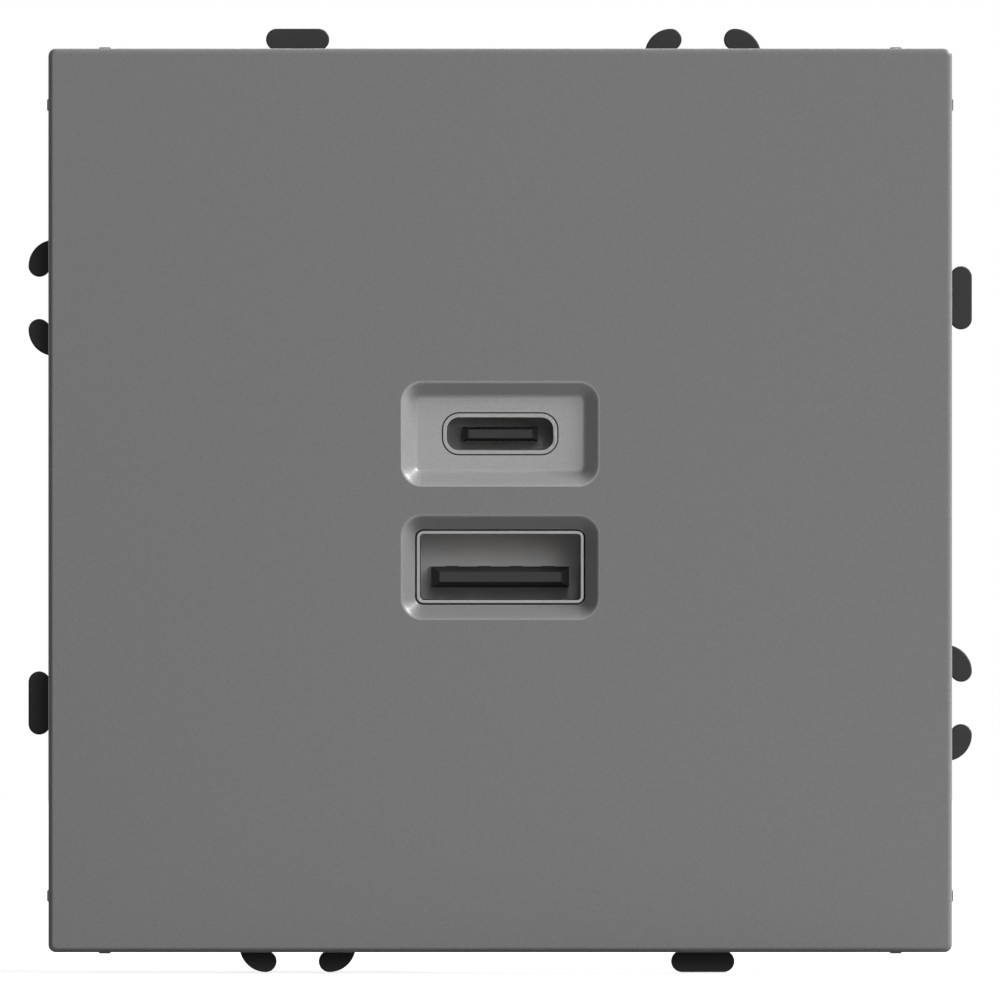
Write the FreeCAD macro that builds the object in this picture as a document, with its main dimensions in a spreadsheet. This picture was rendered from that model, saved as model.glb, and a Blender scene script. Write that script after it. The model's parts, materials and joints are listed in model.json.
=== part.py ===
import FreeCAD, Part
import math
import os
import re
import Sketcher

# Wall socket with one USB-A and one USB-C charging port, in millimetres.
# The wall is the plane y = 0, the face looks towards -Y, +X is right and +Z is up.

V = FreeCAD.Vector

SIZES = {
    # front plate
    "plate_side": 70.8,
    "plate_front": 9.0,
    "plate_wall": 1.8,
    "plate_corner": 0.6,
    "face_rounding": 0.4,
    "skirt_wall": 1.6,
    "skirt_gap": 0.2,
    "recess_width": 15.3,
    "recess_height": 8.0,
    "recess_corner": 1.55,
    "recess_depth": 1.1,
    "recess_run": 1.03,
    "recess_rounding": 0.35,
    "recess_floor_wall": 1.2,
    "port_spacing": 10.44,
    "port_slot_gap": 0.1,
    "nub_width": 1.0,
    "nub_height": 0.12,
    "nub_offset": 31.0,
    "nub_length": 4.0,
    "nub_bevel": 0.1,
    # pegs that the plate is pushed on
    "peg_offset": 27.5,
    "peg_radius": 2.0,
    "peg_height": 4.6,
    "peg_slit": 0.8,
    "peg_gap": 0.05,
    "peg_socket_wall": 1.0,
    "peg_socket_gap": 0.4,
    # support frame and the links at its edges
    "frame_inset": 0.6,
    "frame_thickness": 2.0,
    "frame_corner": 1.2,
    "frame_opening_gap": 0.2,
    "link_offset": 15.9,
    "link_rise": 0.78,
    "link_strip": 1.69,
    "link_pitch_gap": 0.1,
    "link_clearance": 0.2,
    "link_rounding": 0.12,
    "pill_length": 4.97,
    "neck_width": 3.0,
    "prong_half_width": 4.57,
    "prong_turn": 2.07,
    "box_screw_spacing": 60.0,
    "box_screw_slot_width": 3.6,
    "box_screw_slot_length": 5.0,
    # casing and cap of the charging module
    "casing_width": 42.0,
    "casing_height": 38.0,
    "casing_corner": 3.0,
    "casing_wall": 1.4,
    "ear_half_width": 2.4,
    "ear_depth": 5.0,
    "ear_edge": 2.2,
    "cap_thickness": 1.0,
    "cap_side_lap": 0.8,
    "cap_end_lap": 5.0,
    "cap_rim_depth": 2.5,
    "cap_rim_gap": 0.15,
    "cap_rim_wall": 1.0,
    "cap_port_gap": 0.15,
    "module_screw_x": 13.0,
    "module_screw_out": 2.8,
    "module_screw_radius": 1.1,
    "module_screw_length": 6.5,
    "module_screw_head_radius": 2.0,
    "module_screw_head": 1.3,
    "screw_hole_gap": 0.08,
    # circuit boards
    "board_thickness": 1.2,
    "board_edge_gap": 0.3,
    "board_space": 13.1,
    "rear_space": 10.4,
    "port_board_side_gap": 3.1,
    "port_board_end_gap": 2.1,
    "board_peg_side_inset": 2.9,
    "board_peg_end_inset": 4.7,
    "board_peg_radius": 1.3,
    "board_pin_radius": 0.6,
    "board_pin_proud": 0.4,
    "board_pin_gap": 0.05,
    "board_screw_inset": 2.8,
    "board_screw_radius": 0.9,
    "board_screw_head_radius": 1.6,
    "board_screw_head": 1.1,
    "board_screw_length": 5.0,
    "board_post_radius": 1.9,
    "link_pin_pitch": 2.54,
    "link_pin_radius": 0.32,
    "link_pin_proud": 0.9,
    "link_pin_inset": 1.6,
    "header_height": 2.5,
    # receptacles
    "receptacle_length": 10.5,
    "receptacle_wall": 0.3,
    "receptacle_base": 1.5,
    "receptacle_fit": 0.02,
    "shell_leg_width": 1.2,
    "shell_leg_length": 1.9,
    "tongue_setback": 0.8,
    "a_width": 13.14,
    "a_height": 5.72,
    "a_corner": 0.55,
    "a_tongue_width": 10.8,
    "a_tongue_height": 1.63,
    "a_tongue_nose_width": 9.5,
    "a_tongue_nose_height": 0.74,
    "a_tongue_nose": 0.7,
    "a_tongue_drop": 0.78,
    "a_contact_pitch": 2.5,
    "a_contact_width": 1.0,
    "a_contact_thickness": 0.15,
    "c_width": 8.94,
    "c_height": 3.18,
    "c_corner": 1.25,
    "c_tongue_width": 5.9,
    "c_tongue_height": 1.06,
    "c_tongue_nose_width": 4.96,
    "c_tongue_nose_height": 0.67,
    "c_tongue_nose": 0.5,
    "c_contact_pitch": 0.5,
    "c_contact_width": 0.25,
    "c_contact_thickness": 0.06,
    "contact_inset": 0.6,
    # places and sizes of the components, drawn for a main board of this size
    "layout_width": 38.6,
    "layout_height": 34.6,
    # transformer
    "transformer_x": 3.0,
    "transformer_z": -1.0,
    "core_width": 13.0,
    "core_height": 14.0,
    "core_depth": 5.0,
    "core_leg_width": 4.4,
    "core_side_width": 1.9,
    "core_yoke": 2.2,
    "core_board_gap": 3.0,
    "bobbin_wall": 0.6,
    "bobbin_flange_lap": 1.9,
    "winding_lap": 1.5,
    "bobbin_foot": 1.2,
    # other components
    "bulk_x": -13.5,
    "bulk_z": 8.5,
    "bulk_radius": 4.0,
    "bulk_length": 11.5,
    "output_x": 14.6,
    "output_z": 0.8,
    "output_pitch": 7.6,
    "output_radius": 3.15,
    "output_length": 9.0,
    "can_rounding": 0.4,
    "fuse_x": -12.6,
    "fuse_width": 7.6,
    "fuse_height": 4.0,
    "fuse_length": 8.0,
    "film_x": 0.4,
    "film_z": -14.2,
    "film_width": 13.0,
    "film_height": 4.6,
    "film_length": 10.0,
    "choke_x": 11.2,
    "choke_z": -12.2,
    "choke_radius": 3.3,
    "choke_core_radius": 1.6,
    "choke_length": 8.0,
    "choke_flange": 1.0,
    "choke_coil_inset": 0.25,
    "disc_x": -6.5,
    "varistor_z": 8.6,
    "varistor_radius": 4.0,
    "varistor_thickness": 3.4,
    "safety_z": -3.4,
    "safety_radius": 3.4,
    "safety_thickness": 2.8,
    "disc_lead_radius": 0.3,
    "disc_lead_pitch": 5.0,
    "disc_board_gap": 1.0,
    "optocoupler_x": 0.8,
    "optocoupler_z": 9.2,
    "optocoupler_width": 4.6,
    "optocoupler_height": 4.4,
    "optocoupler_depth": 3.4,
    "rectifier_x": -13.0,
    "rectifier_z": 4.0,
    "rectifier_width": 4.7,
    "rectifier_height": 6.5,
    "rectifier_depth": 2.4,
    "switch_x": -3.0,
    "switch_z": 4.0,
    "switch_width": 4.9,
    "switch_height": 6.0,
    "switch_depth": 1.6,
    "port_chip_side": 4.0,
    "port_chip_depth": 0.9,
    # mains terminals
    "terminal_x": 4.2,
    "terminal_block_width": 16.0,
    "terminal_block_height": 9.0,
    "terminal_block_gap": 0.2,
    "terminal_floor": 0.8,
    "terminal_side_wall": 1.4,
    "terminal_cavity_width": 5.8,
    "terminal_ledge": 0.8,
    "terminal_screw_radius": 1.5,
    "terminal_head_radius": 2.35,
    "terminal_head": 1.4,
    "terminal_well_radius": 2.65,
    "terminal_travel": 1.6,
    "cage_gap": 0.3,
    "cage_end_gap": 0.2,
    "cage_wall": 0.8,
    "cage_nut": 1.0,
    "cage_height": 4.0,
    "wire_room": 2.2,
    "wire_hole_radius": 1.05,
    "wire_funnel_radius": 1.6,
    "bar_width": 3.0,
    "bar_thickness": 0.8,
    "bar_leg_width": 1.0,
    "bar_leg_depth": 0.8,
    "bar_leg_proud": 0.6,
    "screw_slot": 0.7,
    "screw_slot_reach": 0.7,
    "screw_slot_depth": 0.8,
    "running_gap": 0.05,
    # spreading claws
    "claw_screw_out": 3.9,
    "claw_screw_radius": 1.5,
    "claw_screw_proud": 1.05,
    "claw_head_radius": 2.3,
    "claw_head": 1.6,
    "claw_forward": 8.0,
    "claw_out": 4.6,
    "claw_sheet": 1.2,
    "claw_half_height": 3.9,
    "claw_foot_y": 20.7,
    "claw_foot_inset": 0.35,
    "claw_arm_length": 12.9,
    "claw_arm_out": 6.7,
    "claw_fork_half_gap": 1.8,
    "claw_tooth": 0.4,
    "claw_tooth_pitch": 1.6,
    "claw_nut_side": 5.5,
    "claw_nut_thickness": 2.4,
    "claw_nut_gap": 0.1,
    "guide_side_gap": 0.3,
    "guide_nut_gap": 0.15,
    "guide_thickness": 1.2,
    "guide_peak_gap": 0.35,
}

LINK_PIN_COUNT = 6
A_CONTACT_COUNT = 4
C_CONTACT_COUNT = 12
CLAW_TEETH = 3

# The two origin planes that sketches lie on.
FRONT = "XZ_Plane"
PLAN = "XY_Plane"


class Size:
    """A length with its present value and the sheet formula that it comes from."""

    def __init__(self, value, formula):
        self.value = float(value)
        self.formula = formula

    def __add__(self, other):
        other = size(other)
        return Size(self.value + other.value, f"({self.formula} + {other.formula})")

    def __sub__(self, other):
        other = size(other)
        return Size(self.value - other.value, f"({self.formula} - {other.formula})")

    def __mul__(self, other):
        other = size(other)
        return Size(self.value * other.value, f"({self.formula} * {other.formula})")

    def __truediv__(self, other):
        other = size(other)
        return Size(self.value / other.value, f"({self.formula} / {other.formula})")

    def __radd__(self, other):
        return size(other) + self

    def __rsub__(self, other):
        return size(other) - self

    def __rmul__(self, other):
        return size(other) * self

    def __neg__(self):
        return size(0) - self


def size(number):
    """Wrap a plain number, and leave a Size as it is."""
    if isinstance(number, Size):
        return number
    return Size(number, f"({float(number)})")


class Sizes:
    """The driving dimensions, one attribute for each cell of the sheet."""

    def __init__(self, document):
        sheet = document.addObject("Spreadsheet::Sheet", "Sizes")
        for row, (name, value) in enumerate(SIZES.items(), start=1):
            sheet.set(f"A{row}", re.sub("_", " ", name))
            sheet.set(f"B{row}", str(value))
            sheet.setAlias(f"B{row}", name)
            setattr(self, name, Size(value, f"Sizes.{name}"))
        document.recompute()


def lesser(first, second):
    """The smaller of two lengths."""
    return Size(min(first.value, second.value), f"min({first.formula}; {second.formula})")


def corners(x, z):
    """The four points with these distances from the middle."""
    return [(x, z), (-x, z), (-x, -z), (x, -z)]


doc = FreeCAD.newDocument("usb_wall_socket")
S = Sizes(doc)

# Levels along Y that several pieces share.
face_y = -S.plate_front
plate_inner_y = face_y + S.plate_wall
frame_front_y = -S.frame_thickness
skirt_rear_y = frame_front_y - S.skirt_gap
mouth_y = face_y + S.recess_depth
port_board_y = mouth_y + S.receptacle_length
port_board_rear_y = port_board_y + S.board_thickness
main_board_y = port_board_rear_y + S.board_space
main_board_rear_y = main_board_y + S.board_thickness
casing_inner_y = main_board_rear_y + S.rear_space
casing_rear_y = casing_inner_y + S.casing_wall

# Places in the plane of the face that several pieces share.
plate_half = S.plate_side / 2
frame_half = plate_half - S.frame_inset
port_z = S.port_spacing / 2
casing_half_x = S.casing_width / 2
casing_half_z = S.casing_height / 2
board_half_x = casing_half_x - S.casing_wall - S.board_edge_gap
board_half_z = casing_half_z - S.casing_wall - S.board_edge_gap
board_screw_x = board_half_x - S.board_screw_inset
board_screw_z = board_half_z - S.board_screw_inset
port_board_half_x = casing_half_x - S.casing_wall - S.port_board_side_gap
port_board_half_z = casing_half_z - S.casing_wall - S.port_board_end_gap
board_peg_x = port_board_half_x - S.board_peg_side_inset
board_peg_z = port_board_half_z - S.board_peg_end_inset
link_pin_z = port_board_half_z - S.link_pin_inset
module_screw_z = casing_half_z + S.module_screw_out
claw_screw_x = casing_half_x + S.claw_screw_out
terminal_bottom_z = -(casing_half_z - S.casing_wall - S.terminal_block_gap)
terminal_top_z = terminal_bottom_z + S.terminal_block_height
cavity_bottom_z = terminal_bottom_z + S.terminal_side_wall
cavity_top_z = terminal_top_z - S.terminal_side_wall
terminal_z = (cavity_bottom_z + cavity_top_z) / 2
cavity_front_y = main_board_rear_y + S.terminal_floor
cage_front_y = cavity_front_y + S.cage_gap
wire_room_y = cage_front_y + S.cage_wall
wire_y = wire_room_y + S.wire_room / 2
bar_y = wire_room_y + S.wire_room
bar_rear_y = bar_y + S.bar_thickness
cage_nut_y = bar_rear_y + S.running_gap * 2
cage_rear_y = cage_nut_y + S.cage_nut
cavity_rear_y = cage_rear_y + S.terminal_travel + S.cage_end_gap
well_y = cavity_rear_y + S.terminal_ledge
block_rear_y = casing_inner_y - S.terminal_block_gap
claw_nut_y = S.claw_foot_y + S.claw_sheet + S.claw_nut_gap
guide_inner_x = casing_half_x + S.guide_side_gap
guide_z = S.claw_nut_side / 2 + S.guide_nut_gap

peg_places = corners(S.peg_offset, S.peg_offset)
module_screw_places = corners(S.module_screw_x, module_screw_z)
board_screw_places = corners(board_screw_x, board_screw_z)
board_peg_places = corners(board_peg_x, board_peg_z)

# How much wider, higher and rounder the components are than in the layout that the sheet gives.
scale_x = 2 * board_half_x / S.layout_width
scale_z = 2 * board_half_z / S.layout_height
scale_round = lesser(scale_x, scale_z)

nodes = {}


def bind(item, path, length):
    """Tie one property of an object to a formula of the sheet."""
    item.setExpression(path, size(length).formula)


def keep(label, item):
    """Give a sub-part its name and list it for the files."""
    item.Label = label
    nodes[label] = item
    return item


# Sketches


def arc_between(start, end, radius, turns_left):
    """A circular arc of at most half a turn between two points of a sketch."""
    chord = end - start
    half = chord.Length / 2
    rise = math.sqrt(max(radius * radius - half * half, 0.0))
    left = V(-chord.y, chord.x, 0).normalize()
    centre = (start + end) / 2 + left * (rise if turns_left else -rise)
    first, last = (start, end) if turns_left else (end, start)
    begin = math.atan2(first.y - centre.y, first.x - centre.x)
    finish = math.atan2(last.y - centre.y, last.x - centre.x)
    if finish < begin:
        finish += 2 * math.pi
    return Part.ArcOfCircle(Part.Circle(centre, V(0, 0, 1), radius), begin, finish)


def draw_outline(sketch, steps):
    """Draw a closed outline. A step is a point, or a point and the radius of the arc that ends there."""
    points = [V(size(step[0]).value, size(step[1]).value, 0) for step in steps]
    ends = []
    for index, step in enumerate(steps):
        start, end = points[index - 1], points[index]
        if len(step) == 2:
            line = sketch.addGeometry(Part.LineSegment(start, end), False)
            ends.append((line, 1, 2))
            continue
        radius = size(step[2])
        turns_left = radius.value > 0
        arc = arc_between(start, end, abs(radius.value), turns_left)
        curve = sketch.addGeometry(arc, False)
        ends.append((curve, 1, 2) if turns_left else (curve, 2, 1))
        rule = sketch.addConstraint(Sketcher.Constraint("Radius", curve, abs(radius.value)))
        bind(sketch, f"Constraints[{rule}]", radius if turns_left else -radius)
    for index, step in enumerate(steps):
        edge, _, last = ends[index]
        following, first, _ = ends[(index + 1) % len(ends)]
        sketch.addConstraint(Sketcher.Constraint("Coincident", edge, last, following, first))
        for kind, place in (("DistanceX", step[0]), ("DistanceY", step[1])):
            rule = sketch.addConstraint(Sketcher.Constraint(kind, -1, 1, edge, last, size(place).value))
            bind(sketch, f"Constraints[{rule}]", place)


def draw_circle(sketch, centre, radius):
    """Draw a circle with its centre and radius tied to the sheet."""
    place = V(size(centre[0]).value, size(centre[1]).value, 0)
    ring = sketch.addGeometry(Part.Circle(place, V(0, 0, 1), size(radius).value), False)
    rule = sketch.addConstraint(Sketcher.Constraint("Radius", ring, size(radius).value))
    bind(sketch, f"Constraints[{rule}]", radius)
    for kind, length in (("DistanceX", centre[0]), ("DistanceY", centre[1])):
        rule = sketch.addConstraint(Sketcher.Constraint(kind, -1, 1, ring, 3, size(length).value))
        bind(sketch, f"Constraints[{rule}]", length)


def rectangle(centre, width, height):
    """Steps of a rectangle."""
    left, right = centre[0] - width / 2, centre[0] + width / 2
    low, high = centre[1] - height / 2, centre[1] + height / 2
    return [(right, low), (right, high), (left, high), (left, low)]


def rounded_rectangle(centre, width, height, radius):
    """Steps of a rectangle with round corners, run counter-clockwise."""
    left, right = centre[0] - width / 2, centre[0] + width / 2
    low, high = centre[1] - height / 2, centre[1] + height / 2
    return [
        (right, low + radius, radius), (right, high - radius),
        (right - radius, high, radius), (left + radius, high),
        (left, high - radius, radius), (left, low + radius),
        (left + radius, low, radius), (right - radius, low),
    ]


def long_hole(centre, length, width, upright=False):
    """Steps of a slot with round ends, along the sketch's first or second axis."""
    radius = width / 2
    straight = length / 2 - radius
    across = [
        (straight, -radius), (length / 2, size(0), radius), (straight, radius, radius),
        (-straight, radius), (-(length / 2), size(0), radius), (-straight, -radius, radius),
    ]
    steps = []
    for step in across:
        along, aside = step[0], step[1]
        x, z = (-aside, along) if upright else (along, aside)
        steps.append((centre[0] + x, centre[1] + z) + tuple(step[2:]))
    return steps


def sketch_at(body, name, plane, level):
    """A sketch on an origin plane of the body, moved along that plane's axis to a level."""
    origin_plane = [item for item in body.Origin.OriginFeatures if item.Role == plane][0]
    sketch = body.newObject("Sketcher::SketchObject", name)
    sketch.AttachmentSupport = [(origin_plane, "")]
    sketch.MapMode = "FlatFace"
    bind(sketch, "AttachmentOffset.Base.z", -level if plane == FRONT else level)
    return sketch


def draw(sketch, shapes):
    """Draw outlines and circles. A circle is given as a centre and a radius."""
    for shape in shapes:
        if isinstance(shape, list):
            draw_outline(sketch, shape)
        else:
            draw_circle(sketch, shape[0], shape[1])


def pad(body, name, shapes, start, end, plane=FRONT):
    """Add material between two levels."""
    sketch = sketch_at(body, f"{name}_sketch", plane, start)
    draw(sketch, shapes)
    feature = body.newObject("PartDesign::Pad", name)
    feature.Profile = sketch
    length = end - start
    forward = length.value > 0
    bind(feature, "Length", length if forward else -length)
    feature.Reversed = forward == (plane == FRONT)
    return feature


def pocket(body, name, shapes, start, end, plane=FRONT):
    """Take material away between two levels."""
    before = solid_volume(body)
    sketch = sketch_at(body, f"{name}_sketch", plane, start)
    draw(sketch, shapes)
    feature = body.newObject("PartDesign::Pocket", name)
    feature.Profile = sketch
    length = end - start
    forward = length.value > 0
    bind(feature, "Length", length if forward else -length)
    feature.Reversed = forward != (plane == FRONT)
    if solid_volume(body) >= before:
        raise RuntimeError(f"{name} takes nothing away from {body.Label}")
    return feature


def loft(body, name, kind, first, last, first_y, last_y):
    """Join two outlines that face each other by flat sides, to add or to take away material."""
    sketches = []
    for end, outline, level in (("front", first, first_y), ("rear", last, last_y)):
        sketch = sketch_at(body, f"{name}_{end}", FRONT, level)
        draw(sketch, [outline])
        sketches.append(sketch)
    feature = body.newObject(kind, name)
    feature.Profile = sketches[0]
    feature.Sections = [sketches[1]]
    feature.Ruled = True
    doc.recompute()
    return feature


def solid_volume(body):
    doc.recompute()
    return body.Shape.Volume


def new_body(label):
    return keep(label, doc.addObject("PartDesign::Body", label))


def quarter_turns(body, name, features):
    """Repeat features at the four sides, about the axis square to the face."""
    axis = [item for item in body.Origin.OriginFeatures if item.Role == "Y_Axis"][0]
    pattern = body.newObject("PartDesign::PolarPattern", name)
    pattern.Originals = features
    pattern.Axis = (axis, [""])
    pattern.Angle = 360
    pattern.Occurrences = 4
    body.Tip = pattern
    doc.recompute()
    return pattern


def round_edges(body, name, radius, wanted):
    """Round the edges of the body that pass a test."""
    base = body.Tip
    names = [f"Edge{i + 1}" for i, edge in enumerate(base.Shape.Edges) if wanted(edge)]
    if not names:
        raise RuntimeError(f"{name} finds no edge on {body.Label}")
    feature = body.newObject("PartDesign::Fillet", name)
    feature.Base = (base, names)
    bind(feature, "Radius", radius)
    doc.recompute()
    return feature


# Simple solids


def block(x, y, z):
    """A box between two levels along each axis."""
    item = doc.addObject("Part::Box", "block")
    for axis, length, (low, high) in (("x", "Length", x), ("y", "Width", y), ("z", "Height", z)):
        bind(item, length, high - low)
        bind(item, f"Placement.Base.{axis}", low)
    return item


def upright_y(item, x, y, z):
    """Turn a primitive's own axis to +Y and set its base point."""
    item.Placement = FreeCAD.Placement(V(0, 0, 0), FreeCAD.Rotation(V(1, 0, 0), -90))
    for axis, place in (("x", x), ("y", y), ("z", z)):
        bind(item, f"Placement.Base.{axis}", place)
    return item


def rod(centre, radius, start, end):
    """A cylinder along Y."""
    item = doc.addObject("Part::Cylinder", "rod")
    bind(item, "Radius", radius)
    bind(item, "Height", end - start)
    return upright_y(item, centre[0], start, centre[1])


def rod_along_x(x_start, x_end, y, z, radius):
    """A cylinder along X."""
    item = doc.addObject("Part::Cylinder", "rod")
    bind(item, "Radius", radius)
    bind(item, "Height", x_end - x_start)
    item.Placement = FreeCAD.Placement(V(0, 0, 0), FreeCAD.Rotation(V(0, 1, 0), 90))
    for axis, place in (("x", x_start), ("y", y), ("z", z)):
        bind(item, f"Placement.Base.{axis}", place)
    return item


def cone_along_z(x, y, z_start, z_end, radius_start, radius_end):
    """A cone along Z."""
    item = doc.addObject("Part::Cone", "cone")
    bind(item, "Radius1", radius_start)
    bind(item, "Radius2", radius_end)
    bind(item, "Height", z_end - z_start)
    for axis, place in (("x", x), ("y", y), ("z", z_start)):
        bind(item, f"Placement.Base.{axis}", place)
    return item


def fuse(pieces):
    item = doc.addObject("Part::MultiFuse", "joined")
    item.Shapes = pieces
    return item


def cut(base, tools):
    item = doc.addObject("Part::Cut", "cut")
    item.Base = base
    item.Tool = tools[0] if len(tools) == 1 else fuse(tools)
    return item


def group(pieces):
    """Separate solids that share one node."""
    item = doc.addObject("Part::Compound", "group")
    item.Links = pieces
    return item


def slotted_head(centre, head_start, head_end, radius, mouth_at_start):
    """A round screw head with a cross slot in the side that faces the screwdriver."""
    head = rod(centre, radius, head_start, head_end)
    half = S.screw_slot / 2
    arm = radius * S.screw_slot_reach
    if mouth_at_start:
        depth = (head_start, head_start + S.screw_slot_depth)
    else:
        depth = (head_end - S.screw_slot_depth, head_end)
    level = block((centre[0] - arm, centre[0] + arm), depth, (centre[1] - half, centre[1] + half))
    upright = block((centre[0] - half, centre[0] + half), depth, (centre[1] - arm, centre[1] + arm))
    return cut(head, [level, upright])


# Visible pieces


def shell_size(port):
    """Outer width, outer height and corner radius of a receptacle's metal shell."""
    if port == "a":
        return S.a_width, S.a_height, S.a_corner
    return S.c_width, S.c_height, S.c_corner


def port_centre(port):
    return (size(0), -port_z if port == "a" else port_z)


def port_outline(port, gap):
    """A receptacle's outline, larger all round by a gap."""
    width, height, corner = shell_size(port)
    return rounded_rectangle(port_centre(port), width + 2 * gap, height + 2 * gap, corner + gap)


def make_front_plate():
    body = new_body("front_plate")
    centre = (size(0), size(0))
    side = S.plate_side
    pad(body, "slab", [rounded_rectangle(centre, side, side, S.plate_corner)], skirt_rear_y, face_y)
    inner = side - 2 * S.skirt_wall
    pocket(body, "hollow", [rectangle(centre, inner, inner)], skirt_rear_y, plate_inner_y)
    boss_rear_y = mouth_y + S.recess_floor_wall
    bosses = [
        rounded_rectangle(port_centre(port), S.recess_width, S.recess_height, S.recess_corner)
        for port in ("a", "c")
    ]
    pad(body, "recess_bosses", bosses, boss_rear_y, plate_inner_y - S.plate_wall / 2)
    bore_radius = S.peg_radius + S.peg_gap
    sockets = [(place, bore_radius + S.peg_socket_wall) for place in peg_places]
    socket_rear_y = frame_front_y - S.peg_socket_gap
    pad(body, "peg_sockets", sockets, socket_rear_y, plate_inner_y - S.plate_wall / 2)
    bores = [(place, bore_radius) for place in peg_places]
    pocket(body, "peg_bores", bores, socket_rear_y, plate_inner_y)
    run = S.recess_run
    for port in ("a", "c"):
        place = port_centre(port)
        rim = rounded_rectangle(place, S.recess_width, S.recess_height, S.recess_corner)
        floor = rounded_rectangle(
            place, S.recess_width - 2 * run, S.recess_height - 2 * run, S.recess_corner - run)
        loft(body, f"recess_{port}", "PartDesign::SubtractiveLoft", rim, floor, face_y, mouth_y)
    for port in ("a", "c"):
        pocket(body, f"slot_{port}", [port_outline(port, S.port_slot_gap)], face_y, boss_rear_y)
    round_edges(body, "soft_edges", S.face_rounding, is_outer_face_edge)
    round_edges(body, "soft_rims", S.recess_rounding, is_recess_rim)
    foot_z = plate_half - S.skirt_wall / 2
    top_z = plate_half + S.nub_height
    half = S.nub_width / 2
    nubs = [
        [(x - half, foot_z), (x + half, foot_z), (x + half, plate_half), (x + half - S.nub_bevel, top_z),
         (x - half + S.nub_bevel, top_z), (x - half, plate_half)]
        for x in (-S.nub_offset, S.nub_offset)
    ]
    feature = pad(body, "nubs", nubs, skirt_rear_y, skirt_rear_y - S.nub_length)
    quarter_turns(body, "nubs_all_round", [feature])


def is_outer_face_edge(edge):
    box = edge.BoundBox
    flat = box.YLength < 1e-6 and abs(box.YMin - face_y.value) < 1e-6
    reach = max(abs(box.XMin), abs(box.XMax), abs(box.ZMin), abs(box.ZMax))
    return flat and reach > plate_half.value - 1e-6 - S.plate_corner.value


def is_recess_rim(edge):
    box = edge.BoundBox
    flat = box.YLength < 1e-6 and abs(box.YMin - face_y.value) < 1e-6
    return flat and max(abs(box.XMin), abs(box.XMax)) < S.recess_width.value


def make_support_frame():
    body = new_body("support_frame")
    centre = (size(0), size(0))
    side = frame_half * 2
    pad(body, "base", [rounded_rectangle(centre, side, side, S.frame_corner)], size(0), frame_front_y)
    half_strip = S.link_strip / 2
    tip_z = plate_half + S.link_rise
    notch_z = plate_half + S.link_pitch_gap - S.link_rise - half_strip - S.link_clearance
    root_z = notch_z - half_strip
    pill = long_hole((-S.link_offset, tip_z), S.pill_length, S.link_strip)
    neck_height = tip_z - root_z
    neck = rectangle((-S.link_offset, (tip_z + root_z) / 2), S.neck_width, neck_height)
    turn_x = S.prong_half_width - S.prong_turn
    turn_z = tip_z + half_strip - S.prong_turn
    inner_turn = S.prong_turn - S.link_strip
    prongs = []
    for hand in (1, -1):
        def along(distance):
            return S.link_offset + distance * hand
        prongs.append([
            (along(turn_x + inner_turn), root_z),
            (along(turn_x + inner_turn), turn_z),
            (along(turn_x), turn_z + inner_turn, inner_turn * hand),
            (along(turn_x - half_strip), tip_z, -half_strip * hand),
            (along(turn_x), tip_z + half_strip, -half_strip * hand),
            (along(turn_x + S.prong_turn), turn_z, -S.prong_turn * hand),
            (along(turn_x + S.prong_turn), root_z),
        ])
    notch_height = 2 * (frame_half - notch_z)
    notches = [
        rectangle((-S.link_offset, frame_half), 2 * (S.prong_half_width + S.link_clearance), notch_height),
        rectangle((S.link_offset, frame_half), 2 * (turn_x + inner_turn), notch_height),
    ]
    notch = pocket(body, "link_notches", notches, frame_front_y, size(0))
    quarter_turns(body, "notches_all_round", [notch])
    links = [
        pad(body, "link_neck", [neck], size(0), frame_front_y),
        pad(body, "link_pill", [pill], size(0), frame_front_y),
        pad(body, "link_prongs", prongs, size(0), frame_front_y),
    ]
    quarter_turns(body, "links_all_round", links)
    round_edges(body, "soft_links", S.link_rounding, is_link_edge)
    opening = rounded_rectangle(
        centre, S.casing_width + 2 * S.frame_opening_gap, S.casing_height + 2 * S.frame_opening_gap,
        S.casing_corner + S.frame_opening_gap)
    pocket(body, "opening", [opening], frame_front_y, size(0))
    box_slots = [
        long_hole((size(0), z), S.box_screw_slot_length, S.box_screw_slot_width, upright=True)
        for z in (S.box_screw_spacing / 2, -S.box_screw_spacing / 2)
    ]
    pocket(body, "box_screw_slots", box_slots, frame_front_y, size(0))
    holes = [(place, S.module_screw_radius + S.screw_hole_gap) for place in module_screw_places]
    holes += [((hand * claw_screw_x, size(0)), S.claw_screw_radius + S.screw_hole_gap) for hand in (1, -1)]
    pocket(body, "screw_holes", holes, frame_front_y, size(0))
    pegs = [(place, S.peg_radius) for place in peg_places]
    peg_front_y = frame_front_y - S.peg_height
    pad(body, "pegs", pegs, frame_front_y + S.frame_thickness / 2, peg_front_y)
    past_peg = 2 * (2 * S.peg_radius)
    slits = [rectangle(place, past_peg, S.peg_slit) for place in peg_places]
    pocket(body, "peg_slits", slits, peg_front_y, frame_front_y - S.skirt_gap)
    make_claw_guides(body)


def is_link_edge(edge):
    box = edge.BoundBox
    flat = box.YLength < 1e-6 and abs(box.YMin - frame_front_y.value) < 1e-6
    reach = max(abs(box.XMin), abs(box.XMax), abs(box.ZMin), abs(box.ZMax))
    return flat and reach > frame_half.value + S.frame_inset.value


def make_claw_guides(body):
    """Ribs behind the frame whose slopes push the claws outwards as they come forward."""
    peak_y = S.claw_foot_y - S.guide_peak_gap
    outer_x = guide_inner_x + S.claw_out
    for name, hand in (("right", 1), ("left", -1)):
        rib = [
            (guide_inner_x * hand, frame_front_y / 2),
            (outer_x * hand, frame_front_y / 2),
            (outer_x * hand, peak_y - S.claw_forward),
            (guide_inner_x * hand, peak_y),
        ]
        pad(body, f"guide_low_{name}", [rib], -guide_z - S.guide_thickness, -guide_z, PLAN)
        pad(body, f"guide_high_{name}", [rib], guide_z, guide_z + S.guide_thickness, PLAN)


# Module casing


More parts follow.
